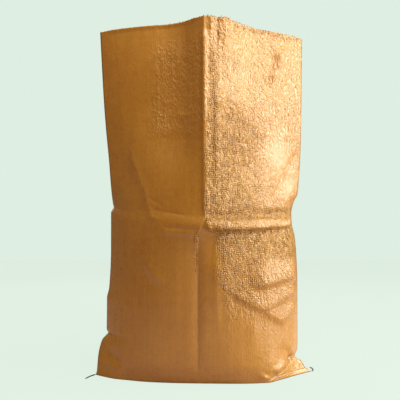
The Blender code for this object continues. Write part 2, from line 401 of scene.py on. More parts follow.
@dataclass(frozen=True)
class SackForm:
    """Where every point of the standing sack's cloth lies.

    The front and back panels are grids of rows and columns. A row is a
    height v, and t runs from -1 at the left side fold to 1 at the right one.
    """

    mouth_z: float = 0.885
    waist_v: float = 0.380
    waist_fade: Pair = (0.10, 0.72)
    back_mouth_dip: float = 0.045
    ridge_mouth_dip: float = 0.002
    side_mouth_dip: float = 0.005
    ridge_mouth_width: float = 0.12
    waist_lift_left: float = 0.044
    waist_lift_right: float = 0.020
    waist_lift_power: float = 1.6
    cloth: float = 0.0006
    # The centre crease of the front: its place above the waist, and its shift below
    crease_place: float = 0.001
    crease_shift: float = 0.014
    crease_turn: Pair = (-0.03, 0.02)
    # The back's bow, its share of the cloth's full slack, and its centre crease
    back_bow: float = 2.4
    back_slack: float = 0.93
    back_reach: float = 0.30
    back_crease: Pair = (0.10, 0.07)
    back_crease_start: Pair = (0.37, 0.45)
    front_columns: tuple[int, int] = (80, 112)
    back_columns: tuple[int, int] = (75, 75)
    crowding: float = 0.28
    base_rows: int = 8
    # Spans of the wall's rows, as (bottom, top, rows)
    row_spans: tuple[tuple[float, float, int], ...] = (
        (0.0030, 0.0120, 4), (0.0120, 0.0600, 22), (0.0600, 0.1250, 18), (0.1250, 0.3550, 56),
        (0.3550, 0.4150, 28), (0.4150, 0.8730, 112), (0.8730, 0.8850, 6),
    )
    # A nip is what a side fold's line leaves of its own average over the window
    # (reach, width), and it dies away over the panel with this power
    nip_window: Pair = (0.075, 0.045)
    nip_power: float = 7.0
    # The side folds' lines, as (height, x) and (height, y)
    left_fold: Pairs = (
        (0.000, -0.2754), (0.010, -0.2718), (0.045, -0.2704), (0.086, -0.2619),
        (0.100, -0.2500), (0.104, -0.2462), (0.107, -0.2480), (0.112, -0.2512), (0.193, -0.2512),
        (0.219, -0.2458), (0.318, -0.2417), (0.414, -0.2417), (0.424, -0.2375), (0.429, -0.2345),
        (0.436, -0.2362), (0.483, -0.2417), (0.543, -0.2460), (0.629, -0.2536), (0.693, -0.2581),
        (0.886, -0.2673),
    )
    right_fold: Pairs = (
        (0.000, 0.2840), (0.012, 0.2650), (0.031, 0.2523), (0.037, 0.2420), (0.041, 0.2371),
        (0.047, 0.2405), (0.055, 0.2459), (0.162, 0.2462), (0.239, 0.2459), (0.315, 0.2427),
        (0.352, 0.2392), (0.388, 0.2314), (0.412, 0.2304), (0.443, 0.2371), (0.463, 0.2469),
        (0.508, 0.2514), (0.595, 0.2570), (0.883, 0.2643),
    )
    left_fold_y: Pairs = (
        (0.0, -0.036), (0.12, -0.010), (0.40, 0.000), (0.886, -0.016),
    )
    right_fold_y: Pairs = (
        (0.0, -0.003), (0.12, 0.002), (0.40, 0.006), (0.883, 0.036),
    )
    # How far the front panel stands towards -Y, in millimetres, at each station
    # across for each height up
    stations: tuple[float, ...] = (
        -1.0, -0.92, -0.80, -0.65, -0.50, -0.35, -0.20, -0.08, 0.0,
        0.08, 0.20, 0.35, 0.50, 0.65, 0.80, 0.92, 1.0,
    )
    depths: tuple[tuple[float, tuple[float, ...]], ...] = (
        (0.000, (36, 51, 69, 81, 92, 98, 102, 104, 105, 105.5, 106.5, 107, 104.5, 93, 58, 24, 3)),
        (0.050, (25, 40, 63, 87, 104, 116, 122, 125, 123, 126, 127, 125, 118, 103, 74, 40, 0)),
        (0.120, (10, 32, 60, 87, 108, 122, 130, 133, 130, 134, 134, 129, 118, 101, 74, 44, -2)),
        (0.300, (1, 26, 56, 86, 110, 127, 138, 141, 138, 143, 143, 131, 114, 93, 66, 38, -5)),
        (0.360, (0, 24, 53, 83, 109, 129, 142, 148, 150, 149, 145, 132, 113, 88, 55, 26, -6)),
        (0.384, (0, 23, 52, 82, 108, 130, 146, 155, 160, 156, 149, 134, 112, 86, 54, 25, -6)),
        (0.410, (0, 22, 50, 79, 104, 125, 141, 150, 155, 150, 140, 122, 101, 76, 47, 21, -7)),
        (0.500, (3, 18, 40, 68, 90, 107, 125, 139, 146, 142, 127, 104, 80, 56, 27, 6, -12)),
        (0.600, (7, 19, 38, 58, 70, 81, 99, 124, 139, 135, 117, 94, 72, 48, 21, 0, -17)),
        (0.700, (10, 21, 36, 50, 60, 70, 88, 115, 133, 127, 109, 84, 58, 37, 13, -7, -24)),
        (0.885, (16, 26, 38, 50, 59, 66, 83, 112, 130, 122, 104, 71, 38, 19, 0, -19, -36)),
    )
    # The right ear: ends (x, y) of its flap's hem, how the flap leans back at the
    # left and at the right, and the crest (x, z) between flap and body
    flap: Pairs = ((0.1660, -0.0960), (0.2840, -0.0030))
    flap_lean: Pair = (-0.25, 0.75)
    flap_turn: Pair = (0.185, 0.243)
    crest: Pairs = ((0.1600, 0.0020), (0.2450, 0.0400))
    # How deep the body is tucked behind the crest, and over which heights above it
    # the tuck begins and ends
    tuck: float = 0.0045
    tuck_in: Pair = (0.0, 0.005)
    tuck_out: Pair = (0.002, 0.026)
    flap_start: Pair = (0.140, 0.166)
    # The hem's fold on the floor, from ear to ear with a kink at column kink_t
    seam_kink: Pair = (0.1690, -0.0905)
    kink_t: float = 0.60
    seam_level: float = 0.0014
    foot_level: float = 0.0006
    foot_inset: float = 0.0016
    foot_centre: Pair = (0.0, 0.02)
    base_swell: float = 0.0012

    def columns(self, panel: Panel) -> Array:
        """Column places from -1 to 1, closer together at the centre crease.

        Args:
            panel: Which panel they are for.

        Returns:
            Rising values of t, with the centre crease on a column.
        """
        left, right = self.front_columns if panel is Panel.FRONT else self.back_columns
        s = np.concatenate(
            [np.linspace(-1.0, 0.0, left, endpoint=False), np.linspace(0.0, 1.0, right + 1)])
        return s * (1.0 - self.crowding + self.crowding * np.abs(s))

    def rows(self) -> Array:
        """Heights of the wall's rows from the floor roll to the mouth."""
        parts = [np.linspace(low, high, n, endpoint=False) for low, high, n in self.row_spans]
        return np.concatenate([*parts, [self.mouth_z]])

    def waist_hat(self, v: Array) -> Array:
        """How near each row is to the waist crease.

        Args:
            v: Row heights.

        Returns:
            1 at the waist crease, falling to 0 well above and below it.
        """
        bottom, top = self.waist_fade
        above = 1.0 - ease(v, self.waist_v, top)
        return np.where(v < self.waist_v, ease(v, bottom, self.waist_v), above)

    def height(self, t: Array, v: Array, panel: Panel) -> Array:
        """Height above the floor.

        Args:
            t: Column places, on the grid.
            v: Row heights, on the grid.
            panel: Which panel the points are on.

        Returns:
            Heights on the grid, in metres.
        """
        mouth = self.mouth_z - self.side_mouth_dip
        side = np.where(t < 0.0, self.waist_lift_left, self.waist_lift_right)
        if panel is Panel.BACK:
            mouth = mouth - self.back_mouth_dip * (1.0 - np.abs(t) ** 2)
            span = 0.6 * self.waist_lift_left + 0.3 * self.waist_lift_right * (1.0 + t)
            side = (1.0 - np.abs(t)) * span + np.abs(t) * side
        else:
            mouth = mouth - self.ridge_mouth_dip * hump(t, 0.0, self.ridge_mouth_width)
        lift = side * np.abs(t) ** self.waist_lift_power * self.waist_hat(v)
        return v * mouth / self.mouth_z + lift

    def folds(self, v: Array) -> tuple[Array, Array]:
        """Plan positions of the left and right side folds on each row.

        Args:
            v: Row heights.

        Returns:
            Two arrays with one (x, y) for each row.
        """
        made = []
        for side, xs, ys in ((-1.0, self.left_fold, self.left_fold_y),
                             (1.0, self.right_fold, self.right_fold_y)):
            z = self.height(np.full_like(v, side), v, Panel.FRONT)
            made.append(np.stack([through(xs, z), through(ys, z)], -1))
        return made[0], made[1]

    def nips(self, v: Array) -> tuple[Array, Array]:
        """How far each side fold stands from its own long run, at nips and ears.

        Args:
            v: Row heights.

        Returns:
            Two arrays of distances along X, for the left and the right fold.
        """
        reach, width = self.nip_window
        steps = np.linspace(-reach, reach, 31)
        weights = hump(steps, 0.0, width)
        weights /= weights.sum()
        local = []
        for side, table in ((-1.0, self.left_fold), (1.0, self.right_fold)):
            z = self.height(np.full_like(v, side), v, Panel.FRONT)
            calm = sum(weight * through(table, np.clip(z + step, 0.0, self.mouth_z))
                       for step, weight in zip(steps, weights))
            local.append(through(table, z) - calm)
        return local[0], local[1]

    def nip(self, t: Array, v: Array) -> Array:
        """The nearer side fold's nip, for each column t and row v."""
        left, right = self.nips(v)
        return np.where(t[None, :] < 0.0, left[:, None], right[:, None])

    def crease_x(self, v: Array) -> Array:
        """Where the front's centre crease runs on each row."""
        return self.crease_place - self.crease_shift * ease(self.waist_v - v, *self.crease_turn)

    def front_wall(self, t: Array, v: Array) -> Array:
        """The front panel above the floor.

        Args:
            t: Column places.
            v: Row heights.

        Returns:
            Points on a grid of rows and columns.
        """
        heights = np.array([height for height, _ in self.depths])
        table = np.array([depths for _, depths in self.depths]) * -MM
        stations = np.array(self.stations)
        half = len(stations) // 2
        across = np.zeros((len(heights), len(t)))
        left_side = t <= 0.0
        for k, row in enumerate(table):
            left = monotone(stations[: half + 1], row[: half + 1, None], t[left_side])
            right = monotone(stations[half:], row[half:, None], t[~left_side])
            across[k] = np.concatenate([left, right])[:, 0]
        y = monotone(heights, across, v)
        left, right = self.folds(v)
        on_left = t[None, :] < 0.0
        edge = 1.0 - np.abs(t)[None, :]
        nip = self.nip(t, v)
        fold_x = np.where(on_left, left[:, :1], right[:, :1]) - nip
        crease = self.crease_x(v)[:, None]
        x = fold_x + (crease - fold_x) * edge + nip * (1.0 - edge) ** self.nip_power
        # The table's edges give way to the side folds' own lines.
        fold_y = np.where(on_left, left[:, 1:], right[:, 1:])
        ends = np.where(on_left, y[:, :1], y[:, -1:])
        y = y + (fold_y - ends) * (1.0 - edge) ** 3
        tt, vv = np.meshgrid(t, v)
        z = self.height(tt, vv, Panel.FRONT)
        y = self.ear_flap(x, y, z)
        return np.stack([x, y, z], -1)

    def ear_flap(self, x: Array, y: Array, z: Array) -> Array:
        """Bring the flat triangle of the right bottom ear out in front of the body.

        Args:
            x: Places across.
            y: Depths of the body's own surface.
            z: Heights.

        Returns:
            Depths with the ear's flap in place.
        """
        plane = self.flap_plane(x, z)
        above = self.above_crest(x, z)
        tucked = plane + self.tuck * ease(above, *self.tuck_in)
        body = tucked + (y - tucked) * ease(above, *self.tuck_out)
        shaped = np.where(above < 0.0, plane, body)
        return y + (shaped - y) * ease(x, *self.flap_start)

    def above_crest(self, x: Array, z: Array) -> Array:
        """How far each place (x, z) is above the crest between the flap and the body."""
        (ax, az), (bx, bz) = self.crest
        return ((bx - ax) * (z - az) - (bz - az) * (x - ax)) / np.hypot(bx - ax, bz - az)

    def flap_plane(self, x: Array, z: Array) -> Array:
        """Depth of the right ear's flat triangle.

        Args:
            x: Places across.
            z: Heights.

        Returns:
            The depth at each place.
        """
        (ax, ay), (bx, by) = self.flap
        hem = ay + (by - ay) * (x - ax) / (bx - ax)
        low, high = self.flap_lean
        return hem + z * (low + (high - low) * ease(x, *self.flap_turn))

    def back_plan(self, left: Array, right: Array, depth: Array,
                  t: Array, v: Array) -> Array:
        """Plan positions on the back panel.

        Args:
            left: Left fold on each row.
            right: Right fold on each row.
            depth: Full depth on each row.
            t: Column places.
            v: Row heights.

        Returns:
            (x, y) on a grid of rows and columns.
        """
        edge = (1.0 - np.abs(t))[None, :]
        width, depth_share = self.back_crease
        crease = hump(1.0 - edge, 0.0, width) * ease(v, *self.back_crease_start)[:, None]
        profile = 1.0 - (1.0 - edge) ** self.back_bow - depth_share * crease
        nip_left, nip_right = self.nips(v)
        calm_left, calm_right = left.copy(), right.copy()
        calm_left[:, 0] -= nip_left
        calm_right[:, 0] -= nip_right
        s = 0.5 * (1.0 + t)[None, :, None]
        plan = calm_left[:, None, :] + (calm_right - calm_left)[:, None, :] * s
        plan[..., 0] += self.nip(t, v) * (1.0 - edge) ** self.nip_power
        plan[..., 1] += depth[:, None] * profile
        return plan

    def back_wall(self, t: Array, v: Array) -> Array:
        """The back panel above the floor.

        Args:
            t: Column places.
            v: Row heights.

        Returns:
            Points on a grid of rows and columns.
        """
        left, right = self.folds(v)
        low = np.zeros(len(v))
        high = np.full(len(v), self.back_reach)
        probe = np.linspace(-1.0, 1.0, 21)
        for _ in range(24):
            mid = 0.5 * (low + high)
            chain = self.back_plan(left, right, mid, probe, v)
            length = np.linalg.norm(np.diff(chain, axis=1), axis=2).sum(axis=1)
            long = length > FLAT_SIZE[0]
            high = np.where(long, mid, high)
            low = np.where(long, low, mid)
        plan = self.back_plan(left, right, self.back_slack * low, t, v)
        tt, vv = np.meshgrid(t, v)
        z = self.height(tt, vv, Panel.BACK)
        return np.concatenate([plan, z[..., None]], -1)

    def seam_line(self, t: Array) -> Array:
        """Plan line of the hem's fold, from the left ear to the right one.

        Args:
            t: Column places.

        Returns:
            One (x, y) for each column.
        """
        left, kink, right = (np.array(p) for p in (LEFT_EAR_TIP, self.seam_kink, RIGHT_EAR_TIP))
        before = np.clip((t + 1.0) / (1.0 + self.kink_t), 0.0, 1.0)[:, None]
        after = np.clip((t - self.kink_t) / (1.0 - self.kink_t), 0.0, 1.0)[:, None]
        return left + (kink - left) * before + (right - kink) * after

    def base(self, wall: Array, t: Array, panel: Panel) -> Array:
        """Rows on the floor, from the seam to a panel's lowest wall row.

        Args:
            wall: The panel's wall.
            t: Column places.
            panel: Which panel it is.

        Returns:
            Points on a grid of the base's rows and the same columns.
        """
        seam = self.seam_line(t)
        foot = wall[0, :, :2]
        foot = foot + unit(np.array(self.foot_centre) - foot) * self.foot_inset
        s = np.linspace(0.0, 1.0, self.base_rows)[:, None, None]
        start, stop = (np.concatenate([line, np.full((len(t), 1), level)], 1)
                       for line, level in ((seam, self.seam_level), (foot, self.foot_level)))
        rows = start[None] + (stop - start)[None] * s
        if panel is Panel.BACK:
            swell = np.sin(pi * s[..., 0]) ** 0.5 * (1.0 - np.abs(t) ** 8)[None, :]
            rows[..., 2] += self.base_swell * swell
        return rows


# ---- Creases, pleats and soft folds of both panels ----
# Rows are kind, height, width, fade and places, as FoldLine has them.
ROUND, SHARP, LEAN = Fold


FRONT_FOLDS = fold_lines(
    # The centre crease: a thin ridge above the waist, a thin valley below it
    (LEAN, 4.2, 3.4, 0.06, (1, 850), (1, 700), (1, 440), (1, 400)),
    (SHARP, -1.8, 3.0, 0.15, (14.5, 845), (14.5, 720), (14.5, 590)),
    (SHARP, -2.2, 5.0, 0.04, (-11, 370), (-13, 250), (-13, 120), (-13, 30)),
    (ROUND, 0.5, 9.0, 0.15, (-24, 372), (-25, 240), (-24, 150)),
    (LEAN, 3.2, 9.0, 0.35, (34, 110), (29, 240), (29, 362)),
    (ROUND, 4.0, 24.0, 0.35, (40, 170), (38, 240), (36, 310)),
    # Pleats beside the ridge at the mouth
    (SHARP, 4.8, 5.0, 0.4, (17, 990), (17, 850), (15, 795)),
    (SHARP, -5.0, 5.0, 0.5, (33, 990), (32, 830), (30, 750)),
    (ROUND, -2.4, 5.5, 0.25, (21, 760), (22, 680), (21, 560), (18, 440)),
    (ROUND, 1.4, 6.0, 0.3, (34, 760), (35, 650), (32, 520)),
    (LEAN, 8.0, 6.0, 0.4, (46, 790), (54, 860), (60, 990)),
    (SHARP, 1.6, 6.0, 0.5, (78, 980), (72, 860), (62, 780)),
    # The dent near the right corner, and creases round it
    (LEAN, 11.5, 5.6, 0.36, (166, 732), (180, 762), (197, 797), (213, 834), (222, 856)),
    (ROUND, -6.0, 11.0, 0.34, (192, 826), (178, 794), (166, 758)),
    (SHARP, -2.2, 2.8, 0.30, (183, 764), (187, 778), (186, 792)),
    (SHARP, -2.0, 2.8, 0.30, (196, 800), (203, 812), (206, 828)),
    (SHARP, 1.8, 3.5, 0.2, (40, 684), (56, 696), (70, 712), (84, 730)),
    (SHARP, -1.8, 3.0, 0.2, (44, 680), (60, 692), (74, 708), (86, 724)),
    # Large soft waves of the right panel above the waist
    (ROUND, 1.2, 22.0, 0.3, (150, 885), (138, 780), (128, 650)),
    (ROUND, -1.2, 18.0, 0.3, (112, 880), (104, 760), (108, 620)),
    (SHARP, 1.8, 5.0, 0.3, (180, 690), (204, 668), (226, 664)),
    (SHARP, 1.6, 5.0, 0.3, (120, 640), (142, 612), (170, 600)),
    # Short creases across the cloth at the right edge and beside the ridge
    (SHARP, -2.0, 2.6, 0.25, (20, 582), (40, 579), (64, 582)),
    (SHARP, -2.2, 3.0, 0.25, (198, 600), (222, 597), (246, 600)),
    (SHARP, -1.8, 2.6, 0.25, (206, 622), (226, 618), (246, 622)),
    (SHARP, -1.6, 2.6, 0.25, (214, 640), (230, 645), (248, 643)),
    (SHARP, 1.7, 2.6, 0.25, (-72, 655), (-40, 648), (-9, 654)),
    (SHARP, 1.6, 2.6, 0.25, (-66, 610), (-34, 604), (-8, 609)),
    (SHARP, 1.5, 2.6, 0.25, (-106, 690), (-84, 684), (-60, 689)),
    # The crease that runs down from the right edge to the waist
    (SHARP, -4.4, 5.0, 0.25, (170, 438), (190, 476), (208, 512), (226, 545), (246, 578)),
    (ROUND, -2.4, 13.0, 0.30, (222, 520), (236, 546), (250, 580)),
    # The waist crease, right of the centre crease and left of it
    (ROUND, -4.8, 9.0, 0.08, (2, 405), (55, 405), (112, 406), (160, 409), (226, 415)),
    (LEAN, 9.0, 5.5, 0.05, (-2, 386), (14, 377), (60, 375), (130, 376), (204, 381),
     (236, 389)),
    (SHARP, -3.4, 4.5, 0.12, (24, 365), (64, 364), (100, 363), (140, 364), (180, 370)),
    (SHARP, -1.2, 4.0, 0.2, (-140, 452), (-118, 440), (-93, 424)),
    (SHARP, 0.6, 4.0, 0.2, (-136, 444), (-114, 431), (-90, 416)),
    (SHARP, -1.3, 4.5, 0.2, (-124, 420), (-90, 413), (-61, 409), (-30, 404)),
    (SHARP, -2.2, 4.5, 0.15, (-100, 378), (-60, 376), (-20, 374), (-6, 376)),
    (ROUND, 2.2, 7.0, 0.15, (-100, 366), (-60, 365), (-18, 364)),
    # The long fold that parts the left third from the bowed middle
    (SHARP, 3.0, 9.0, 0.22, (-190, 590), (-175, 543), (-164, 518), (-151, 480), (-141, 462),
     (-137, 437), (-129, 417), (-126, 402), (-112, 398), (-102, 381), (-94, 366)),
    # Soft folds of the lower half
    (ROUND, 2.0, 13.0, 0.4, (-150, 310), (-120, 270), (-86, 236)),
    (ROUND, -1.8, 12.0, 0.4, (-168, 290), (-130, 246), (-100, 214)),
    (LEAN, 9.0, 9.0, 0.3, (108, 232), (134, 238), (170, 244), (206, 252), (252, 262)),
    (LEAN, 5.2, 7.5, 0.2, (50, 232), (70, 222), (108, 198), (142, 181), (180, 194),
     (214, 210), (250, 222)),
    (LEAN, 5.0, 7.5, 0.25, (140, 182), (160, 166), (192, 147), (222, 164), (250, 180)),
    (ROUND, 1.0, 18.0, 0.35, (240, 112), (206, 92), (176, 88)),
    (ROUND, 2.0, 16.0, 0.4, (110, 180), (120, 120), (118, 50)),
    (SHARP, -2.4, 6.0, 0.3, (236, 42), (214, 58), (196, 84)),
    (SHARP, 2.2, 6.0, 0.3, (238, 48), (222, 66), (210, 96)),
    # The pocket beside the right ear's crest, and the bulge left of it
    (ROUND, -8.0, 7.0, 0.25, (208, 52), (226, 42)),
    (ROUND, 5.0, 10.0, 0.25, (172, 18), (206, 48)),
    (ROUND, 13.0, 14.0, 0.3, (140, -8), (158, 18)),
    # The facet over the left bottom corner
    (SHARP, 2.4, 7.0, 0.25, (-262, 40), (-230, 30), (-196, 22)),
    (ROUND, -2.6, 12.0, 0.35, (-250, 70), (-222, 52), (-200, 46)),
)

BACK_FOLDS = fold_lines(
    (SHARP, 1.8, 5.0, 0.04, (3, 850), (3, 640), (2, 400)),
    (SHARP, -2.0, 5.0, 0.04, (-8, 370), (-8, 200), (-8, 20)),
    (SHARP, -2.4, 5.0, 0.08, (-215, 414), (-120, 400), (0, 390), (120, 394), (215, 400)),
    (ROUND, 2.6, 8.0, 0.08, (-210, 400), (-110, 386), (0, 376), (110, 380), (210, 388)),
    (ROUND, 3.0, 18.0, 0.3, (-180, 760), (-120, 700), (-70, 610)),
    (ROUND, -3.0, 15.0, 0.3, (-150, 780), (-90, 720), (-50, 650)),
    (ROUND, 3.4, 18.0, 0.3, (190, 700), (140, 620), (90, 560)),
    (ROUND, -2.6, 15.0, 0.3, (160, 720), (110, 650), (60, 600)),
    (ROUND, 3.4, 17.0, 0.3, (-200, 300), (-140, 260), (-90, 190)),
    (ROUND, -3.0, 14.0, 0.3, (-210, 250), (-160, 200), (-110, 140)),
    (ROUND, 3.4, 16.0, 0.3, (205, 280), (150, 240), (100, 230)),
    (ROUND, -3.2, 13.0, 0.3, (210, 220), (150, 190), (110, 150)),
)


# ---- Finishes ----


class Graph:
    """A small helper that adds and links the nodes of a material or a world."""

    def __init__(self, owner: Material | World, output: str = "OutputMaterial") -> None:
        """Start with only the output.

        Args:
            owner: The material or world.
            output: Type of its output node.
        """
        owner.use_nodes = True
        self.owner = owner
        self.tree = owner.node_tree
        self.tree.nodes.clear()
        self.output = self.add(output)

    def add(self, kind: str, inputs: dict | None = None, **settings: object) -> Node:
        """Add a node.

        Args:
            kind: Blender's name of the node type, without ShaderNode.
            inputs: A number, a tuple or a socket for each input, by its number or name.
            settings: Properties of the node.

        Returns:
            The new node.
        """
        node = self.tree.nodes.new("ShaderNode" + kind)
        for key, value in settings.items():
            setattr(node, key, value)
        for key, value in (inputs or {}).items():
            if isinstance(value, NodeSocket):
                self.tree.links.new(value, node.inputs[key])
            else:
                node.inputs[key].default_value = value
        return node

    def finish(self, surface: NodeSocket) -> Material | World:
        """Link the surface to the output and hand back the material or world."""
        self.tree.links.new(surface, self.output.inputs[0])
        return self.owner

    def math(self, operation: str, *values: object) -> NodeSocket:
        """The result of a maths node, from Blender's name of it and numbers or sockets."""
        return self.add("Math", dict(enumerate(values)), operation=operation).outputs[0]

    def times(self, first: object, second: object) -> NodeSocket:
        """The product of two numbers or sockets."""
        return self.math("MULTIPLY", first, second)

    def line(self, value: NodeSocket, slope: float, start: float) -> NodeSocket:
        """A value times the slope, added to the start."""
        return self.math("ADD", start, self.times(value, slope))

    def weigh(self, *terms: tuple[NodeSocket, float]) -> NodeSocket:
        """Add up values, each times its weight.

        Args:
            terms: Pairs of value and weight.

        Returns:
            The sum's socket.
        """
        *rest, total = [self.times(value, weight) for value, weight in terms]
        for term in reversed(rest):
            total = self.math("ADD", term, total)
        return total

    def chance(self, x: object, y: object, z: float) -> NodeSocket:
        """A fixed random number from 0 to 1 for each place (x, y, z)."""
        place = self.add("CombineXYZ", {0: x, 1: y, 2: z}).outputs[0]
        return self.add("TexWhiteNoise", {"Vector": place}, noise_dimensions="3D").outputs[0]

    def noise(self, where: NodeSocket, scale: float, detail: float = 2.0,
              roughness: float = 0.5, output: str = "Fac") -> NodeSocket:
        """Smooth noise of about 0 to 1.

        Args:
            where: Coordinates.
            scale: Features per metre.
            detail: How many octaves.
            roughness: How strong the small ones are.
            output: Fac for one noise, Color for three independent ones.

        Returns:
            The noise's socket.
        """
        inputs = {"Vector": where, "Scale": scale, "Detail": detail, "Roughness": roughness}
        return self.add("TexNoise", inputs, noise_dimensions="3D").outputs[output]

    def grade(self, value: NodeSocket, low: float, high: float,
              to_low: float = 0.0, to_high: float = 1.0) -> NodeSocket:
        """Spread the range low to high over to_low to to_high, smoothly.

        Args:
            value: The socket to spread.
            low: Where the result is to_low.
            high: Where the result is to_high.
            to_low: The result at the low end.
            to_high: The result at the high end.

        Returns:
            The result's socket.
        """
        inputs = dict(enumerate((value, low, high, to_low, to_high)))
        return self.add("MapRange", inputs, interpolation_type="SMOOTHSTEP").outputs[0]

    def colour(self, share: NodeSocket, first: Colour, second: Colour) -> NodeSocket:
        """A colour between two others, from the first at share 0 to the second at 1."""
        inputs = {0: share, 6: (*first, 1.0), 7: (*second, 1.0)}
        return self.add("Mix", inputs, data_type="RGBA").outputs[2]

    def bump(self, height: NodeSocket, distance: float,
             after: NodeSocket | None = None) -> NodeSocket:
        """A bump node's normal.

        Args:
            height: Height from 0 to 1.
            distance: Metres that a height of 1 stands for.
            after: The normal of an earlier bump.

        Returns:
            The normal's socket.
        """
        inputs = {"Strength": 1.0, "Distance": distance, "Height": height}
        if after is not None:
            inputs["Normal"] = after
        return self.add("Bump", inputs).outputs["Normal"]

    def by_ray(self, cast: Node, seen: Node) -> NodeSocket:
        """One shader for what the camera sees, and another for the light on the sack."""
        ray = self.add("LightPath").outputs["Is Camera Ray"]
        return self.add("MixShader", {0: ray, 1: cast.outputs[0], 2: seen.outputs[0]}).outputs[0]


@dataclass(frozen=True)
class WovenFilm:
    """Woven polypropylene tape under a thin clear film.

    The cloth map counts metres along the cloth, so the weave lies square to it.
    The mesh's crinkle and grain attributes say where the film is crinkled and
    where the weave presses through it, which also sets how strong the painted
    shade between the tapes is. Heights are in metres.
    """

    name: str = "woven_film"
    tape: float = 0.0050
    deep: Colour = (0.420, 0.180, 0.011)
    pale: Colour = (0.510, 0.252, 0.028)
    roughness: float = 0.30
    plastic_index: float = 1.49
    sheen: float = 0.04
    film: float = 0.95
    film_on_grain: float = 0.46
    film_index: float = 1.58
    film_roughness: float = 0.31
    weave_height: float = 0.00034
    film_weave: float = 0.32
    calm_weave: float = 0.30
    grained: float = 5.0
    unsteady: float = 0.0100
    crinkle_height: float = 0.0014
    streak_height: float = 0.0019
    # Painted shade between the tapes: the share of the colour left in the weave's low places, and
    # how much less of it where the weave presses through
    painted_gap_shade: float = 0.98
    painted_gap_shade_on_grain: float = 0.26

    def weave(self, graph: Graph, u: NodeSocket, w: NodeSocket) -> tuple:
        """The plain weave of flat tapes, over one and under one.

        Args:
            graph: The material's nodes.
            u: Metres across the cloth.
            w: Metres up the cloth.

        Returns:
            Sockets for the weave's height, and for each place's warp and weft tape.
        """
        counts = [graph.math("DIVIDE", way, self.tape) for way in (u, w)]
        warp, weft = (graph.math("FLOOR", count) for count in counts)
        across, along = (graph.math("SINE", graph.times(graph.math("FRACT", count), pi))
                         for count in counts)
        odd = graph.math("MODULO", graph.math("ABSOLUTE", graph.math("ADD", warp, weft)), 2.0)
        on_top = [graph.times(graph.math("POWER", wide, 0.55), long)
                  for wide, long in ((across, along), (along, across))]
        height = graph.add("Mix", {0: odd, 2: on_top[0], 3: on_top[1]}, data_type="FLOAT")
        # No two crossings stand equally high.
        uneven = graph.line(graph.chance(warp, weft, 3.5), 1.40, 0.30)
        return graph.times(height.outputs[0], uneven), warp, weft

    def shades(self, graph: Graph, warp: NodeSocket, weft: NodeSocket, broad: NodeSocket,
               fine: NodeSocket) -> NodeSocket:
        """The tapes' colour: each was drawn with its own width and shade.

        Args:
            graph: The material's nodes.
            warp: Number of each place's warp tape.
            weft: Number of each place's weft tape.
            broad: Noise of the cloth's large patches.
            fine: Noise of its small ones.

        Returns:
            The colour's socket.
        """
        tapes = graph.weigh((graph.chance(warp, 0.5, 0.5), 0.62),
                            (graph.chance(0.5, weft, 7.5), 0.38))
        shade = graph.weigh((tapes, 0.22), (broad, 0.60), (fine, 0.38))
        return graph.colour(graph.grade(shade, 0.30, 0.95), self.deep, self.pale)

    def paint_gap_shade(self, graph: Graph, colour: NodeSocket, height: NodeSocket,
                grain: NodeSocket) -> NodeSocket:
        """Paint shade into the colour between the tapes, most where the weave presses through.

        Args:
            graph: The material's nodes.
            colour: The tapes' colour.
            height: The weave's height.
            grain: How far the weave presses through.

        Returns:
            The socket of the colour with its painted shade.
        """
        # Painted shade: the colour is multiplied down in the low places of the weave, and more
        # where the weave presses through the film.
        least = graph.line(grain, -self.painted_gap_shade_on_grain, self.painted_gap_shade)
        rest = graph.times(graph.grade(height, 0.05, 0.55), graph.math("SUBTRACT", 1.0, least))
        shade = graph.math("ADD", least, rest)
        painted_shade_grey = graph.add("CombineColor", {0: shade, 1: shade, 2: shade}).outputs[0]
        return graph.add("Mix", {0: 1.0, 6: colour, 7: painted_shade_grey}, data_type="RGBA",
                         blend_type="MULTIPLY").outputs[2]

    def creases(self, graph: Graph, stretched: NodeSocket, u: NodeSocket,
                w: NodeSocket) -> NodeSocket:
        """The film's fine creases: short ridges, and long streaks up the cloth.

        Args:
            graph: The material's nodes.
            stretched: Coordinates stretched a little along the warp.
            u: Metres across the cloth.
            w: Metres up the cloth.

        Returns:
            The bumped normal's socket.
        """
        amount = graph.add("Attribute", attribute_name="crinkle").outputs["Fac"]
        ridges = graph.noise(stretched, 110.0, 3.0, 0.5)
        off_middle = graph.math("ABSOLUTE", graph.math("SUBTRACT", ridges, 0.5))
        ridged = graph.line(off_middle, -4.0, 1.0)
        narrow = graph.math("POWER", graph.math("MAXIMUM", ridged, 0.0), 2.2)
        short = graph.bump(graph.times(narrow, amount), self.crinkle_height)
        drawn_out = {0: u, 1: graph.times(w, 0.045), 2: 0.0}
        streaks = graph.noise(graph.add("CombineXYZ", drawn_out).outputs[0], 170.0, 2.0, 0.5)
        return graph.bump(graph.times(streaks, amount), self.streak_height, short)

    def build(self) -> Material:
        """Make the material.

        Returns:
            The new material.
        """
        graph = Graph(bpy.data.materials.new(self.name))
        cloth = graph.add("SeparateXYZ", {0: graph.add("UVMap", uv_map="cloth").outputs[0]})
        where = graph.add("TexCoord").outputs["Object"]
        wander = graph.add("SeparateXYZ", {0: graph.noise(where, 55.0, 1.5, output="Color")})
        u, w = (graph.math("ADD", cloth.outputs[k], graph.times(
            graph.math("SUBTRACT", wander.outputs[k], 0.5), self.unsteady)) for k in (0, 1))
        height, warp, weft = self.weave(graph, u, w)
        broad = graph.noise(where, 7.0, 3.0, 0.55)
        fine = graph.noise(where, 60.0, 3.0, 0.6)
        pressed = graph.add("Attribute", attribute_name="grain").outputs["Fac"]
        grain = graph.grade(pressed, 0.05, 0.75)
        # The tapes' colour, with painted shade in the low places between them.
        colour = self.paint_gap_shade(graph, self.shades(graph, warp, weft, broad, fine), height, grain)
        stretched = graph.add("Mapping", {"Vector": where, "Scale": (1.0, 1.0, 0.62)}).outputs[0]
        creased = self.creases(graph, stretched, u, w)
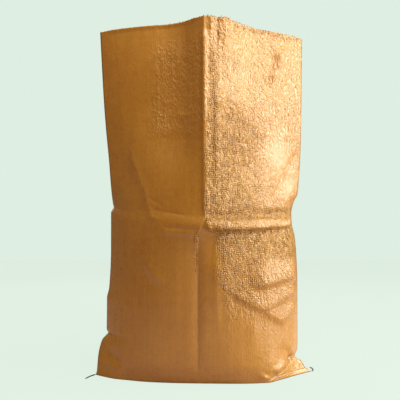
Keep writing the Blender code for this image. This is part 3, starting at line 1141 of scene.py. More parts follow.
        # The weave shows in blotches a little taller than wide.
        blotches = graph.grade(graph.noise(stretched, 90.0, 2.0, 0.6), 0.38, 0.62,
                               0.15 * self.grained, 1.40 * self.grained)
        raised = graph.times(height, graph.math(
            "ADD", self.calm_weave, graph.times(grain, blotches)))
        inputs = {
            "Base Color": colour,
            "Roughness": graph.grade(fine, 0.3, 0.7, self.roughness - 0.05, self.roughness + 0.08),
            "Normal": graph.bump(raised, self.weave_height, creased),
            "Coat Normal": graph.bump(raised, self.film_weave * self.weave_height, creased),
            "Coat Roughness": self.film_roughness,
            "Coat IOR": self.film_index,
            "IOR": self.plastic_index,
            "Sheen Weight": self.sheen,
        }
        if self.film > 0.0:
            # The film grips the weave where it is pressed in, and shines less there.
            inputs["Coat Weight"] = graph.grade(grain, 0.1, 0.9, self.film, self.film_on_grain)
        return graph.finish(graph.add("BsdfPrincipled", inputs).outputs[0])


@dataclass(frozen=True)
class InsideCloth(WovenFilm):
    """The unlaminated inner side of the same cloth, duller and plainly woven."""

    name: str = "inside_cloth"
    deep: Colour = (0.330, 0.140, 0.022)
    pale: Colour = (0.450, 0.200, 0.045)
    roughness: float = 0.48
    film: float = 0.0
    weave_height: float = 0.00032
    crinkle_height: float = 0.0004


@dataclass(frozen=True)
class TwistedThread:
    """Spun polyester sewing thread of several twisted strands."""

    name: str = "sewing_thread"
    dark: Colour = (0.002, 0.014, 0.026)
    light: Colour = (0.005, 0.032, 0.052)
    fuzz_height: float = 0.00025
    sheen: float = 0.10
    sheen_roughness: float = 0.4

    def build(self) -> Material:
        """Make the material.

        Returns:
            The new material.
        """
        graph = Graph(bpy.data.materials.new(self.name))
        where = graph.add("TexCoord").outputs["Object"]
        fuzz = graph.noise(where, 900.0, 3.0, 0.6)
        tone = graph.grade(graph.noise(where, 160.0, 2.0, 0.5), 0.3, 0.7)
        return graph.finish(graph.add("BsdfPrincipled", {
            "Base Color": graph.colour(tone, self.dark, self.light),
            "Roughness": graph.grade(fuzz, 0.2, 0.8, 0.55, 0.85),
            "Normal": graph.bump(fuzz, self.fuzz_height),
            "Sheen Weight": self.sheen,
            "Sheen Roughness": self.sheen_roughness,
        }).outputs[0])


@dataclass(frozen=True)
class PaleFloor:
    """Evenly lit pale paper, with only a little of the sack's shade on it."""

    name: str = "pale_paper"
    colour: Colour = (0.737, 0.855, 0.760)
    glow: float = 0.975
    shade: float = 0.05
    roughness: float = 0.9
    bounce: float = 0.60
    bounce_colour: Colour = (1.0, 0.80, 0.72)

    def build(self) -> Material:
        """Make the material.

        Returns:
            The new material.
        """
        graph = Graph(bpy.data.materials.new(self.name))
        seen = graph.add("BsdfPrincipled", {
            "Base Color": (*(self.shade * c for c in self.colour), 1.0),
            "Roughness": self.roughness,
            "Specular IOR Level": 0.0,
            "Emission Color": (*self.colour, 1.0),
            "Emission Strength": self.glow,
        })
        bounced = (*(self.bounce * c for c in self.bounce_colour), 1.0)
        return graph.finish(graph.by_ray(graph.add("BsdfDiffuse", {"Color": bounced}), seen))


# ---- Meshes ----


def new_object(name: str, data: ID) -> Object:
    """Put a new object with this data into the scene.

    Args:
        name: Name of the object.
        data: Its mesh, light or camera.

    Returns:
        The object.
    """
    made = bpy.data.objects.new(name, data)
    bpy.context.scene.collection.objects.link(made)
    return made


def add_mesh(name: str, points: Array, faces: list, finishes: list[Material],
             slots: list[int] | None = None, smooth: list[bool] | None = None) -> Object:
    """Make a mesh object in the row frame.

    Args:
        name: Name of the piece.
        points: Corners in the maker's coordinates.
        faces: Corner numbers of each face.
        finishes: The piece's materials.
        slots: Which material each face takes.
        smooth: Which faces are shaded smooth, all of them if it isn't given.

    Returns:
        The new object.
    """
    mesh = bpy.data.meshes.new(name)
    mesh.from_pydata((np.asarray(points) - ORIGIN).tolist(), [], faces)
    for finish in finishes:
        mesh.materials.append(finish)
    if slots is not None:
        mesh.polygons.foreach_set("material_index", slots)
    mesh.polygons.foreach_set("use_smooth", smooth or [True] * len(mesh.polygons))
    mesh.update()
    return new_object(name, mesh)


def closed_grid(front: Array, back: Array, points: list, faces: list) -> None:
    """Add a thin closed strip with a front grid and a back grid of points.

    Args:
        front: Rows and columns of points on the side that is seen.
        back: The same grid on the other side.
        points: List to add to.
        faces: List to add to.
    """
    first = len(points)
    points += [*front.reshape(-1, 3), *back.reshape(-1, 3)]
    faces += (np.concatenate(slab_faces(*front.shape[:2])) + first).tolist()


def dress(piece: Object, node: str | None = None) -> Object:
    """Put a piece on the sack's body.

    Args:
        piece: The piece.
        node: The node of the frame that it stands for, if it stands for one.

    Returns:
        The same piece.
    """
    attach(piece, "root")
    if node is not None:
        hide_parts(node)
    LOG.info("%s: %d faces", piece.name, len(piece.data.polygons))
    return piece


@dataclass
class Strips:
    """Narrow curled strips of tape, gathered into one mesh."""

    thick: float = 0.00014
    taper: float = 0.12
    sections: int = 4
    points: list = field(default_factory=list)
    faces: list = field(default_factory=list)

    def add(self, start: Array, up: Array, lean: Array, side: Array,
            wide: float, long: float) -> None:
        """Add one strip.

        Args:
            start: Middle of its root.
            up: Direction in which it sets out.
            lean: How far it leans over its length, as a share of it.
            side: Direction of its width.
            wide: Its width.
            long: Its length.
        """
        self.faces += tube_faces(len(self.points), self.sections, 4)
        face = unit(np.cross(side, up)) * self.thick
        for s in np.linspace(0.0, 1.0, self.sections):
            middle = start + long * (s * up + s * s * lean)
            half = side * wide * (0.5 - self.taper * s)
            self.points += [middle - half - face, middle + half - face,
                            middle + half + face, middle - half + face]


@dataclass(frozen=True)
class ThreadTail:
    """One free end of the seam thread, limp on the floor beside an ear."""

    node: str
    start: Pair
    turn: float
    bend: float
    length: float
    diameter: float = 0.0030
    lift: float = 0.0004
    gap: float = 0.0005
    spans: int = 10
    pitch: float = 0.0070
    rings: int = 96
    sides: int = 18
    groove: float = 0.12
    fibres: int = 7
    fibre_width: float = 0.0003
    fibre_thick: float = 0.00012
    fibre_gap: float = 0.00022
    fibre_root: float = 0.001
    fibre_spread: float = 0.22

    def route(self) -> Array:
        """The solid's route, with a point halfway along each of its spans.

        Returns:
            Points in the maker's coordinates.
        """
        level = 0.5 * self.diameter + self.lift
        x, y = self.start
        chain = [np.array([x + self.gap * cos(self.turn), y + self.gap * sin(self.turn), level])]
        step = self.length / self.spans
        for k in range(self.spans):
            angle = self.turn + k * self.bend / self.spans
            ahead = 0.5 * step * np.array([cos(angle), sin(angle), 0.0])
            chain += [chain[-1] + ahead, chain[-1] + 2.0 * ahead]
        return np.array(chain)

    def frayed(self, end: Array, ahead: Array, side: Array) -> Strips:
        """The loose fibres at the thread's cut end.

        Args:
            end: Where the thread ends.
            ahead: Direction of the thread there.
            side: Direction across it.

        Returns:
            The fibres.
        """
        fibres = Strips(thick=self.fibre_thick)
        middle = 0.5 * (self.fibres - 1)
        for k in range(self.fibres):
            start = end - ahead * self.fibre_root + side * self.fibre_gap * (k - middle)
            lean = side * (k - middle) * self.fibre_spread + UP * 0.12 * (-1.0) ** k
            fibres.add(start, ahead, lean, side, self.fibre_width, 0.0032 + 0.0004 * (k % 3))
        return fibres

    def make(self, thread: Material) -> Object:
        """Build the tail as three twisted strands with a frayed end.

        Args:
            thread: Finish of the thread.

        Returns:
            The cord's piece.
        """
        route = self.route()
        at = np.linspace(0.0, 2.0 * self.spans, self.rings)
        line = points_at(at, np.arange(len(route)), route)
        ahead = unit(np.gradient(line, axis=0))
        side = np.stack([-ahead[:, 1], ahead[:, 0], np.zeros(self.rings)], 1)
        share = np.linspace(0.0, 1.0, self.rings)
        phase = FULL_TURN * share * self.length / self.pitch
        radius = 0.5 * self.diameter * (1.0 - 0.35 * ease(share, 0.86, 1.0))
        rings = strand_rings(line, side, np.broadcast_to(UP, line.shape), radius, phase,
                             self.sides, self.groove)
        fibres = self.frayed(line[-1], ahead[-1], side[-1])
        points = [*rings.reshape(-1, 3), *fibres.points]
        faces = tube_faces(0, self.rings, self.sides)
        faces += [[i + self.rings * self.sides for i in face] for face in fibres.faces]
        name = self.node.replace("thread_tail", "free_thread")
        piece = dress(add_mesh(name, np.array(points), faces, [thread]), self.node)
        return piece


TAILS = (
    ThreadTail("thread_tail_left", LEFT_EAR_TIP, -0.72 * pi, 0.16 * pi, 0.036),
    ThreadTail("thread_tail_right", RIGHT_EAR_TIP, 0.36 * pi, 0.30 * pi, 0.034),
)


@dataclass(frozen=True)
class ChainStitch:
    """One run of plump twisted stitches along a line, single or as loops of two strands."""

    paired: bool = True
    stitch: float = 0.0044
    gap: float = 0.0012
    width: float = 0.0016
    height: float = 0.0011
    steps: int = 9
    sides: int = 8
    groove: float = 0.10
    twist: float = 5.0

    def strand(self, at: Array, runs: Array, line: Array, out: Array, strand: float) -> Array:
        """One strand of one stitch.

        Args:
            at: Places along the line.
            runs: How far along the line each of its points is.
            line: Points on the cloth.
            out: The cloth's outward direction at each.
            strand: -1 or 1 for the strands of a loop, 0 for a single one.

        Returns:
            Rings of points.
        """
        s = np.linspace(0.0, 1.0, self.steps)
        middle = points_at(at, runs, line)
        face = unit(points_at(at, runs, out))
        side = np.cross(face, unit(np.gradient(middle, axis=0)))
        middle = middle + side * (strand * self.width * 0.36 * (1.0 - 0.75 * s))[:, None]
        plump = np.sqrt(np.clip(1.0 - np.abs(2.0 * s - 1.0) ** 3.0, 0.03, 1.0))
        slim = 0.62 if self.paired else 1.0
        return strand_rings(middle, side * 0.5 * self.width * slim, face * 0.5 * self.height,
                            plump, self.twist * s, self.sides, self.groove)

    def row(self, name: str, line: Array, out: Array, thread: Material) -> Object:
        """Lay stitches along a line.

        Args:
            name: Name of the piece.
            line: Points on the cloth.
            out: The cloth's outward direction at each.
            thread: Finish of the thread.

        Returns:
            The piece.
        """
        points, faces = [], []
        steps = np.linalg.norm(np.diff(line, axis=0), axis=1)
        runs = np.concatenate([[0.0], np.cumsum(steps)])
        pitch = self.stitch + self.gap
        reach = self.stitch * (1.15 if self.paired else 1.0)
        for k in range(int(runs[-1] / pitch)):
            at = (k + 0.1) * pitch + np.linspace(0.0, 1.0, self.steps) * reach
            for strand in (-1.0, 1.0) if self.paired else (0.0,):
                faces += tube_faces(len(points), self.steps, self.sides)
                points += list(self.strand(at, runs, line, out, strand).reshape(-1, 3))
        return dress(add_mesh(name, np.array(points), faces, [thread]), SEAM_NODE)


@dataclass(frozen=True)
class HemSeam:
    """The turned-over bottom hem and the chain stitch that closes it."""

    form: SackForm
    left: Pair = (-0.268, -0.0370)
    kink: Pair = (0.1690, -0.0880)
    right: Pair = (0.2755, -0.0045)
    inset: float = 0.012
    left_end: float = 0.012
    right_end: float = 0.010
    bend: float = 0.020
    corner_shift: float = 0.004
    straight_steps: int = 24
    # The turned-over cloth: its reach up the flap, and where its two faces lie
    # in front of the flap and above the floor
    fold: float = 0.0125
    fold_start: float = 0.0022
    fold_least: float = 0.0028
    fold_wave: float = 0.0003
    fold_columns: int = 60
    fold_rows: int = 5
    fold_ends: Pair = (0.1675, 0.2810)
    fold_layer: Pair = (0.0010, 0.0003)
    under_sides: Pair = (-0.008, 0.012)
    under_across: Pair = (0.11, 0.99)
    under_layer: Pair = (0.0008, 0.0013)
    looper_level: float = 0.0009
    needle_ends: Pair = (0.1760, 0.2740)
    needle_top: float = 0.0066
    needle_away: float = 0.0012

    def under_path(self) -> Array:
        """Plan path of the stitches under the sack, up to the right ear.

        Returns:
            One (x, y) for each point of the path.
        """
        a, b, c = (np.array(p) for p in (self.left, self.kink, self.right))
        first, second = unit(b - a), unit(c - b)
        start = a + self.inset * np.array([-first[1], first[0]]) + self.left_end * first
        stop = c + self.inset * np.array([-second[1], second[0]]) - self.right_end * second
        corner = b + np.array([self.corner_shift, self.inset])
        enter, leave = corner - self.bend * first, corner + self.bend * second
        s = np.linspace(0.0, 1.0, self.straight_steps)[:-1, None]
        r = np.linspace(0.0, 1.0, 9)[:, None]
        return np.concatenate([start + (enter - start) * s,
                               (1 - r) ** 2 * enter + 2 * r * (1 - r) * corner + r * r * leave,
                               leave + (stop - leave) * r[1:]])

    def flap_place(self, x: Array, z: Array, away: float) -> tuple[Array, Array]:
        """Points in front of the right ear's flap.

        Args:
            x: Places across.
            z: Heights.
            away: Distance in front of the flap.

        Returns:
            Points, and the flap's outward direction at each.
        """
        y = self.form.flap_plane(x, z)
        dx = (self.form.flap_plane(x + MM, z) - y) / MM
        dz = (self.form.flap_plane(x, z + MM) - y) / MM
        out = unit(np.stack([dx, -np.ones_like(y), dz], -1))
        return np.stack([x, y, z], -1) + away * out, out

    def fold_top(self, x: Array) -> Array:
        """Height of the turned-over cloth on the flap.

        Args:
            x: Places across.

        Returns:
            The height of its edge at each place.
        """
        zs, xs = np.array(self.form.right_fold[:5])[::-1].T
        (ax, az), (bx, bz) = self.form.crest
        crest = az + (x - ax) * (bz - az) / (bx - ax)
        return np.minimum(np.minimum(self.fold, 0.80 * np.interp(x, xs, zs)), crest - 0.0006)

    def band(self, cloth: Material) -> Object:
        """The strip of cloth that is turned over, on the flap and under the sack.

        Args:
            cloth: Finish of the laminated side.

        Returns:
            The piece.
        """
        points, faces = [], []
        x = np.linspace(*self.fold_ends, self.fold_columns)
        top = np.maximum(self.fold_top(x), self.fold_least)
        rise = np.linspace(0.0, 1.0, self.fold_rows)[:, None]
        z = self.fold_start + (top - self.fold_start) * rise
        z[-1] += self.fold_wave * np.sin(np.arange(self.fold_columns) * 1.7)
        across = np.broadcast_to(x, z.shape)
        front, back = (self.flap_place(across, z, away)[0] for away in self.fold_layer)
        closed_grid(front, back, points, faces)
        path = self.under_path()[:self.straight_steps, None]
        strip = np.linspace(*self.under_sides, self.fold_rows)[None, :, None]
        path = (path + strip * np.array(self.under_across)).transpose(1, 0, 2)
        low, high = (np.concatenate([path, np.full((*path.shape[:2], 1), level)], 2)
                     for level in self.under_layer)
        closed_grid(low, high, points, faces)
        return dress(add_mesh("hem_fold", np.array(points), faces, [cloth]))

    def stitches(self, looper: Material, needle: Material) -> list[Object]:
        """The chain stitch: looper thread underneath, needle thread on the flap.

        Args:
            looper: Finish of the thread underneath.
            needle: Finish of the thread on the flap.

        Returns:
            Both pieces.
        """
        path = self.under_path()
        line = np.concatenate([path, np.full((len(path), 1), self.looper_level)], 1)
        under = ChainStitch().row("chain_stitch", line, np.tile(-UP, (len(path), 1)), looper)
        x = np.linspace(*self.needle_ends, self.fold_columns)
        z = np.minimum(self.needle_top, 0.58 * self.fold_top(x) + 0.0006)
        line, out = self.flap_place(x, z, self.needle_away)
        straight = ChainStitch(paired=False, stitch=0.0046, gap=0.0020)
        return [under, straight.row("flap_stitch", line, out, needle)]


# ---- The cloth ----


# Zones of the front panel
MIDDLE_LEFT = Zone(left=(-0.150, -0.110), low=(0.58, 0.64), high=(0.80, 0.86))
SCATTERED = Zone(left=(-0.150, -0.110), right=(-0.012, -0.004),
                 low=(0.46, 0.60), high=(0.80, 0.85))
LEFT_RIM = Zone(left=(-0.26, -0.22), right=(-0.020, -0.004))
BESIDE_CREASE = Zone(low=(0.24, 0.28), high=(0.360, 0.372))
GRAIN_BESIDE_CREASE = Zone(low=(0.24, 0.28), high=(0.365, 0.375))
RIDGE_TOP = Zone(left=(-0.004, 0.0), right=(0.008, 0.015), low=(0.60, 0.68))
EAR_FLAP = Zone(left=(0.160, 0.180), high=(0.08, 0.09))
# Places where the film was pulled flat, as middle (x, z), half width and half height
PULLED_FLAT = ((0.190, 0.568, 0.050, 0.045), (0.222, 0.478, 0.030, 0.050))
# Where the weave, with the painted shade between its tapes, shows less, and by how much
LESS_GRAIN = (
    (0.35, Zone(low=(0.68, 0.76))),
    (0.60, Zone(low=(0.78, 0.83))),
    (0.55, Zone(left=(0.022, 0.044), low=(0.60, 0.70))),
    (0.75, Zone(left=(0.095, 0.175), high=(0.285, 0.325))),
)


@dataclass
class SackCloth:
    """The tube of cloth as two panels, with every fold and crinkle in it."""

    form: SackForm = field(default_factory=SackForm)
    ragged: float = 0.0007
    # Crinkles: width and height of a patch in metres, and their lift in millimetres
    coarse: Triple = (0.030, 0.040, 0.95)
    small: Triple = (0.0125, 0.0165, 0.80)
    waves: Triple = (0.085, 0.140, 0.9)
    scattered: Triple = (0.0085, 0.0075, 0.75)
    # The left rim of the mouth curls outward between these heights below it
    curled_rim: float = 0.0020
    rim_rows: Pair = (-0.019, -0.006)
    # The strip of crinkles beside the lower centre crease: middle and half width
    beside_crease: Pair = (-0.0165, 0.0065)
    flap_crinkle: float = 0.20
    # Weave grain, and with it the painted shade between the tapes, on the ear's flap and on the
    # back
    flap_grain: float = 0.26
    back_grain: float = 0.50
    # Panel, number of tape ends, and whether they hang
    fringe_plans: tuple = ((Panel.FRONT, 74, False), (Panel.BACK, 60, False),
                           (Panel.FRONT, 34, True))
    mouths: dict = field(default_factory=dict)

    def ring(self) -> tuple[Array, Array]:
        """The smooth outer surface of both panels.

        Returns:
            The front grid and the back grid, base rows first.
        """
        form = self.form
        v = form.rows()
        front_t, back_t = form.columns(Panel.FRONT), form.columns(Panel.BACK)
        front, back = form.front_wall(front_t, v), form.back_wall(back_t, v)
        back[:, (0, -1)] = front[:, (0, -1)]
        front = np.concatenate([form.base(front, front_t, Panel.FRONT), front])
        back = np.concatenate([form.base(back, back_t, Panel.BACK), back])
        back[:, (0, -1)] = front[:, (0, -1)]
        return front, back

    def crinkle_share(self, x: Array, z: Array, panel: Panel) -> Array:
        """How strongly the film is crinkled at each place.

        Args:
            x: Places across.
            z: Heights.
            panel: Which panel.

        Returns:
            Shares from 0 to 1.
        """
        if panel is Panel.BACK:
            return 0.40 + 0.30 * gradient_noise(6.0 * x, 5.0 * z, Pattern.BACK_SHARE)
        upper = ease(z, 0.39, 0.44)
        below = 1.0 - ease(z, 0.355, 0.375)
        # The smooth strip right of the centre crease widens below the waist.
        smooth_strip = 0.008 * ease(z, 0.58, 0.62) + below * (
            0.024 + 0.010 * gradient_noise(30.0 * x, 16.0 * z, Pattern.STRIP_BORDER)
            + 0.020 * (1.0 - ease(z, 0.16, 0.28)))
        right = ease(x - smooth_strip, -0.004, 0.010 + 0.012 * below)
        left = 1.0 - right
        fade = ease(z, 0.10, 0.26)
        high = upper * (right + left * (0.12 + 0.48 * MIDDLE_LEFT.share(x, z)))
        low = (1.0 - upper) * (right * (0.16 + 0.74 * fade) + left * (0.07 + 0.06 * fade))
        low = low + 0.55 * hump(x, *self.beside_crease) * BESIDE_CREASE.share(x, z)
        flat = sum(np.exp(-(((x - x0) / wide) ** 2 + ((z - z0) / tall) ** 2))
                   for x0, z0, wide, tall in PULLED_FLAT)
        share = (high + low) * (1.0 - 0.75 * np.clip(flat, 0.0, 1.0))
        share = np.maximum(share, self.flap_crinkle * self.on_flap(x, z))
        patchy = gradient_noise(11.0 * x, 9.0 * z, Pattern.CRINKLE_SHARE)
        return np.clip(share * (1.0 + 0.35 * patchy), 0.0, 1.0)

    def grain_and_gap_shade_share(self, x: Array, z: Array, panel: Panel) -> Array:
        """How far the weave presses through the film at each place, which also sets
        how strong the painted shade between the tapes is.

        Args:
            x: Places across.
            z: Heights.
            panel: Which panel.

        Returns:
            Shares from 0 to 1.
        """
        share = self.crinkle_share(x, z, panel)
        if panel is Panel.BACK:
            return self.back_grain * share
        upper = ease(z, 0.37, 0.385)
        start = upper * ease(x, -0.004, 0.010) + (1.0 - upper) * ease(x, 0.012, 0.045)
        start = start * (1.0 - 0.85 * RIDGE_TOP.share(x, z))
        beside = hump(x, *self.beside_crease) * GRAIN_BESIDE_CREASE.share(x, z)
        right = start + 0.8 * beside
        patchy = x + 0.035 * gradient_noise(9.0 * x, 7.0 * z, Pattern.GRAIN_BORDER)
        inner = 1.0 - 0.80 * ease(patchy, 0.030, 0.165) * ease(z, 0.40, 0.44)
        for less, zone in LESS_GRAIN:
            inner = inner * (1.0 - less * zone.share(x, z))
        on_waist = hump(z, 0.387, 0.011, 4.0)
        inner = inner * (1.0 - (0.62 + 0.28 * ease(x, 0.09, 0.16)) * on_waist)
        inner = inner * (0.25 + 0.75 * ease(z + 0.35 * x, 0.19, 0.31))
        pressed = np.clip(share * np.clip(right + 0.12, 0.0, 1.0) * inner * 1.15, 0.0, 1.0)
        return np.maximum(pressed, self.flap_grain * self.on_flap(x, z))

    def on_flap(self, x: Array, z: Array) -> Array:
        """How surely each place is on the right ear's flat triangle, from 0 to 1."""
        below = 1.0 - ease(self.form.above_crest(x, z), -0.004, 0.001)
        return below * EAR_FLAP.share(x, z)

    def moved(self, grid: Array, normals: Array, panel: Panel) -> tuple[Array, Array]:
        """The panel with its folds and crinkles, and its crinkle shares.

        Args:
            grid: Smooth surface.
            normals: Its outward normals.
            panel: Which panel.

        Returns:
            The moved grid and the share of crinkle at each point.
        """
        front = panel is Panel.FRONT
        x, z = grid[..., 0], grid[..., 2]
        lift = np.zeros(x.shape)
        for fold in FRONT_FOLDS if front else BACK_FOLDS:
            lift += fold.lift(x, z)
        share = self.crinkle_share(x, z, panel)
        seed = Pattern.FRONT_CRUMPLE if front else Pattern.BACK_CRUMPLE
        (cx, cz, coarse), (sx, sz, small), (wx, wz, waves) = self.coarse, self.small, self.waves
        crumpled = (coarse * crackle(x / cx, z / cz, seed)
                    + small * crackle(x / sx, z / sz, seed + 3))
        lift += MM * share * crumpled + waves * MM * gradient_noise(x / wx, z / wz, seed + 6)
        if front:
            patches = gradient_noise(22.0 * x, 16.0 * z, Pattern.SCATTER_SHARE)
            patches = np.clip(0.5 + 1.2 * patches, 0.0, 1.0)
            px, pz, pitted = self.scattered
            pits = crackle(x / px, z / pz, Pattern.SCATTER)
            lift += pitted * MM * SCATTERED.share(x, z) * patches * pits
            low, high = (self.form.mouth_z + level for level in self.rim_rows)
            lift += self.curled_rim * ease(z, low, high) ** 2 * LEFT_RIM.share(x, z)
        edge = 1.0 - np.abs(self.form.columns(panel))[None, :]
        lift[:self.form.base_rows] = 0.0
        keep = ease(edge, 0.0, 0.05) * ease(z, 0.004, 0.030)
        return grid + normals * (lift * keep)[..., None], share

    def cloth_map(self, grid: Array, panel: Panel) -> Array:
        """Metres along the cloth, across and up, at each point.

        Args:
            grid: The panel's outer surface.
            panel: Which panel.

        Returns:
            A grid of (across, up), counted from the centre crease and the mouth.
        """
        centre = int(np.argmin(np.abs(self.form.columns(panel))))
        across = np.zeros(grid.shape[:2])
        across[:, 1:] = np.cumsum(np.linalg.norm(np.diff(grid, axis=1), axis=2), axis=1)
        across -= across[:, centre][:, None]
        width = (across[:, -1] - across[:, 0])[:, None]
        up = np.zeros(grid.shape[:2])
        up[1:] = np.cumsum(np.linalg.norm(np.diff(grid, axis=0), axis=2), axis=0)
        up = up - up[-1][None, :] + up[-1].mean()
        return np.stack([across * (np.median(width) / width), up], -1)

    def panels(self, outside: Material, inside: Material) -> dict[Panel, Object]:
        """Build both panels as closed sheets of cloth.

        Args:
            outside: Finish of the laminated side.
            inside: Finish of the inner side.

        Returns:
            The piece of each panel.
        """
        front, back = self.ring()
        ring = np.concatenate([front, back[:, -2:0:-1]], axis=1)
        across = np.roll(ring, -1, axis=1) - np.roll(ring, 1, axis=1)
        normals = unit(np.cross(across, np.gradient(ring, axis=0)))
        count = front.shape[1]
        back_normals = np.concatenate(
            [normals[:, :1], normals[:, count:][:, ::-1], normals[:, count - 1:count]], axis=1)
        made = {}
        for panel, grid, out in ((Panel.FRONT, front, normals[:, :count]),
                                 (Panel.BACK, back, back_normals)):
            outer, share = self.moved(grid, out, panel)
            made[panel] = self.sheet(panel, outer, out, share, [outside, inside])
        return made

    def fringe(self, outside: Material) -> Object:
        """Cut tape ends that stand up from the mouth and hang just below it.

        Args:
            outside: Finish of the laminated side.

        Returns:
            The piece.
        """
        strips = Strips()
        for number, (panel, count, hanging) in enumerate(self.fringe_plans):
            rim, below, out = self.mouths[panel]
            order = np.arange(count)
            draw = [lattice(order, np.full(count, number), Pattern.FRINGE + k) for k in range(5)]
            first = 0.62 if hanging else 0.01
            spread = (order + 0.2 + 0.6 * draw[0]) / count
            place = (first + (0.985 - first) * spread) * (len(rim) - 1)
            for k in order:
                i = int(place[k])
                up = unit(rim[i] - below[i])
                side = unit(rim[min(i + 1, len(rim) - 1)] - rim[max(i - 1, 0)])
                wide = 0.0012 + 0.0014 * draw[1][k]
                if hanging:
                    start = rim[i] - up * (0.0015 + 0.006 * draw[4][k]) + out[i] * 0.0010
                    long = 0.004 + 0.005 * draw[2][k]
                    strips.add(start, -up, out[i] * 0.30, side, wide, long)
                else:
                    start = rim[i] - up * 0.0015 + out[i] * 0.0003
                    long = 0.0015 + (0.0032 if rim[i][0] > 0.0 else 0.0012) * draw[2][k]
                    turned = 1.0 if draw[4][k] > 0.35 else -0.6
                    lean = out[i] * (0.25 + 0.5 * draw[3][k]) * turned
                    strips.add(start, up, lean, side, wide, long)
        piece = add_mesh("mouth_fringe", np.array(strips.points), strips.faces, [outside])
        return dress(piece)

    def sheet(self, panel: Panel, outer: Array, normals: Array, share: Array,
              finishes: list[Material]) -> Object:
        """Close one panel with its inner side and its cut edges.

        Args:
            panel: Which panel.
            outer: The outer surface.
            normals: Outward directions.
            share: Crinkle at each point.
            finishes: Finishes of the laminated side and of the inner side.

        Returns:
            The panel's piece.
        """
        rows, columns = outer.shape[:2]
        base_rows = self.form.base_rows
        inner = outer - normals * self.form.cloth
        inner[:base_rows] = outer[:base_rows] + self.form.cloth * UP
        order = np.arange(columns)
        rough = 0.4 + 0.6 * lattice(order, np.zeros(columns), Pattern.CUT_EDGE)
        cut = np.sin(order * 2.399) * self.ragged * rough
        outer[-1, :, 2] += cut
        inner[-1, :, 2] += cut
        self.mouths[panel] = (outer[-1], outer[-4], normals[-1])
        faces = slab_faces(rows, columns)
        if panel is Panel.BACK:
            faces = tuple(part[:, ::-1] for part in faces)
        skin, other, rim = (len(part) for part in faces)
        points = np.concatenate([outer.reshape(-1, 3), inner.reshape(-1, 3)])
        piece = add_mesh(panel.value, points, np.concatenate(faces).tolist(), finishes,
                         slots=[0] * skin + [1] * (other + rim),
                         smooth=[True] * (skin + other) + [False] * rim)
        grain = self.grain_and_gap_shade_share(outer[..., 0], outer[..., 2], panel)
        # The grain attribute sets the weave's bumps and the painted shade between its tapes.
        for name, values in (("crinkle", share), ("grain", grain)):
            attribute = piece.data.attributes.new(name, "FLOAT", "POINT")
            attribute.data.foreach_set("value", np.tile(values.ravel(), 2))
        placed = np.tile(self.cloth_map(outer, panel).reshape(-1, 2), (2, 1))
        corners = np.zeros(len(piece.data.loops), int)
        piece.data.loops.foreach_get("vertex_index", corners)
        layer = piece.data.uv_layers.new(name="cloth")
        layer.data.foreach_set("uv", placed[corners].ravel())
        return dress(piece, SACK_NODE)


# ---- Studio ----


BACKDROP = (0.737, 0.855, 0.760)
DAYLIGHT = (1.0, 1.0, 0.88)
WARM = (1.0, 0.70, 0.42)


@dataclass(frozen=True)
class Lamp:
    """One square soft light that faces the middle of the sack.

    Azimuth is in degrees from the camera's side towards +X and elevation in
    degrees above the floor. Distance and width are in metres, power in watts.
    """

    name: str
    azimuth: float
    elevation: float
    away: float
    width: float
    power: float
    colour: Colour = DAYLIGHT
    aim: Triple = (0.0, 0.0, 0.45)

    def hang(self) -> None:
        """Add the light to the scene."""
        data = bpy.data.lights.new(self.name, "AREA")
        data.shape = "SQUARE"
        data.size = self.width
        data.energy = self.power
        data.color = self.colour
        made = new_object(self.name, data)
        turn, up = radians(self.azimuth), radians(self.elevation)
        aim = Vector(self.aim)
        made.location = aim + self.away * Vector(
            (sin(turn) * cos(up), -cos(turn) * cos(up), sin(up)))
        made.visible_camera = False
        made.rotation_euler = (aim - made.location).to_track_quat("-Z", "Y").to_euler()


LAMPS = (
    Lamp("key_light", 74.0, 16.0, 2.2, 1.0, 14.5),
    Lamp("side_light", 95.0, 16.0, 2.2, 1.0, 16.0),
    Lamp("high_light", 61.0, 34.0, 2.2, 1.3, 12.0),
    Lamp("high_side_light", 88.0, 34.0, 2.2, 1.2, 13.8),
    Lamp("top_light", 40.0, 58.0, 1.5, 0.8, 13.0),
    Lamp("low_light", 72.0, -14.0, 1.3, 0.6, 4.8),
    Lamp("left_top_light", -40.0, 58.0, 1.5, 0.8, 3.3, WARM),
    Lamp("front_top_light", 5.0, 56.0, 1.6, 0.9, 4.2, WARM),
    Lamp("back_light", 168.0, 30.0, 2.2, 1.4, 12.0),
    Lamp("back_left_light", 210.0, 20.0, 2.2, 1.2, 10.0),
)


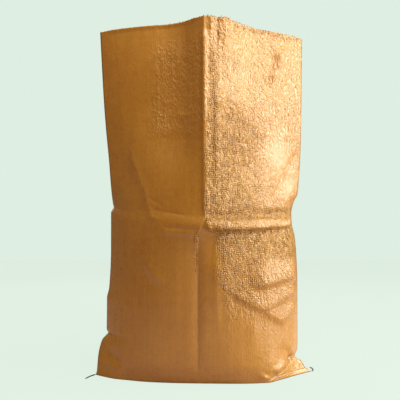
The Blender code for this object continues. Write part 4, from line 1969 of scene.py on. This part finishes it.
@dataclass(frozen=True)
class Studio:
    """Camera at the photograph's place, soft light, a pale floor and a plain backdrop."""

    eye: Triple = (0.0, -1.350, 0.390)
    lens: float = 46.485
    sensor: float = 36.0
    shift: Pair = (-0.00875, 0.055)
    near: float = 0.02
    floor_half: float = 4.0
    ambient: float = 0.235

    def camera(self) -> None:
        """Set up the camera."""
        data = bpy.data.cameras.new("photo_camera")
        data.lens = self.lens
        data.sensor_width = self.sensor
        data.shift_x, data.shift_y = self.shift
        data.clip_start = self.near
        made = new_object(data.name, data)
        made.location = Vector(self.eye) - Vector(ORIGIN)
        made.rotation_euler = (0.5 * pi, 0.0, 0.0)
        bpy.context.scene.camera = made

    def floor(self) -> None:
        """Lay the pale floor."""
        half = self.floor_half
        points = [(-half, -half, 0.0), (half, -half, 0.0), (half, half, 0.0), (-half, half, 0.0)]
        paper = PaleFloor(colour=BACKDROP).build()
        add_mesh("studio_floor", np.array(points), [[0, 1, 2, 3]], [paper])

    def world(self) -> None:
        """Show the plain backdrop and give a dim warm ambient light."""
        graph = Graph(bpy.data.worlds.new("studio_world"), "OutputWorld")
        seen = graph.add("Background", {"Color": (*BACKDROP, 1.0), "Strength": 1.0})
        cast = graph.add("Background", {"Color": (*WARM, 1.0), "Strength": self.ambient})
        bpy.context.scene.world = graph.finish(graph.by_ray(cast, seen))

    def build(self) -> None:
        """Set up everything round the sack."""
        self.floor()
        self.world()
        for lamp in LAMPS:
            lamp.hang()
        view = bpy.context.scene.view_settings
        view.view_transform = "Standard"
        view.look = "None"


def main() -> None:
    """Build the sack's visible model and the studio round it."""
    logging.basicConfig(level=logging.INFO, format="%(message)s")
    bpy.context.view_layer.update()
    studio = Studio()
    studio.camera()
    thread = TwistedThread().build()
    for tail in TAILS:
        tail.make(thread)
    film = WovenFilm().build()
    cloth = SackCloth()
    made = cloth.panels(film, InsideCloth().build())
    fringe = cloth.fringe(film)
    seam = HemSeam(cloth.form)
    hem = seam.band(film)
    # The flap's stitches are coloured pale cream, much lighter than the dark blue thread
    # underneath.
    needle = TwistedThread("needle_thread", (0.42, 0.30, 0.16), (0.80, 0.66, 0.44)).build()
    stitches = seam.stitches(thread, needle)
    studio.build()


if __name__ == "__main__":
    main()
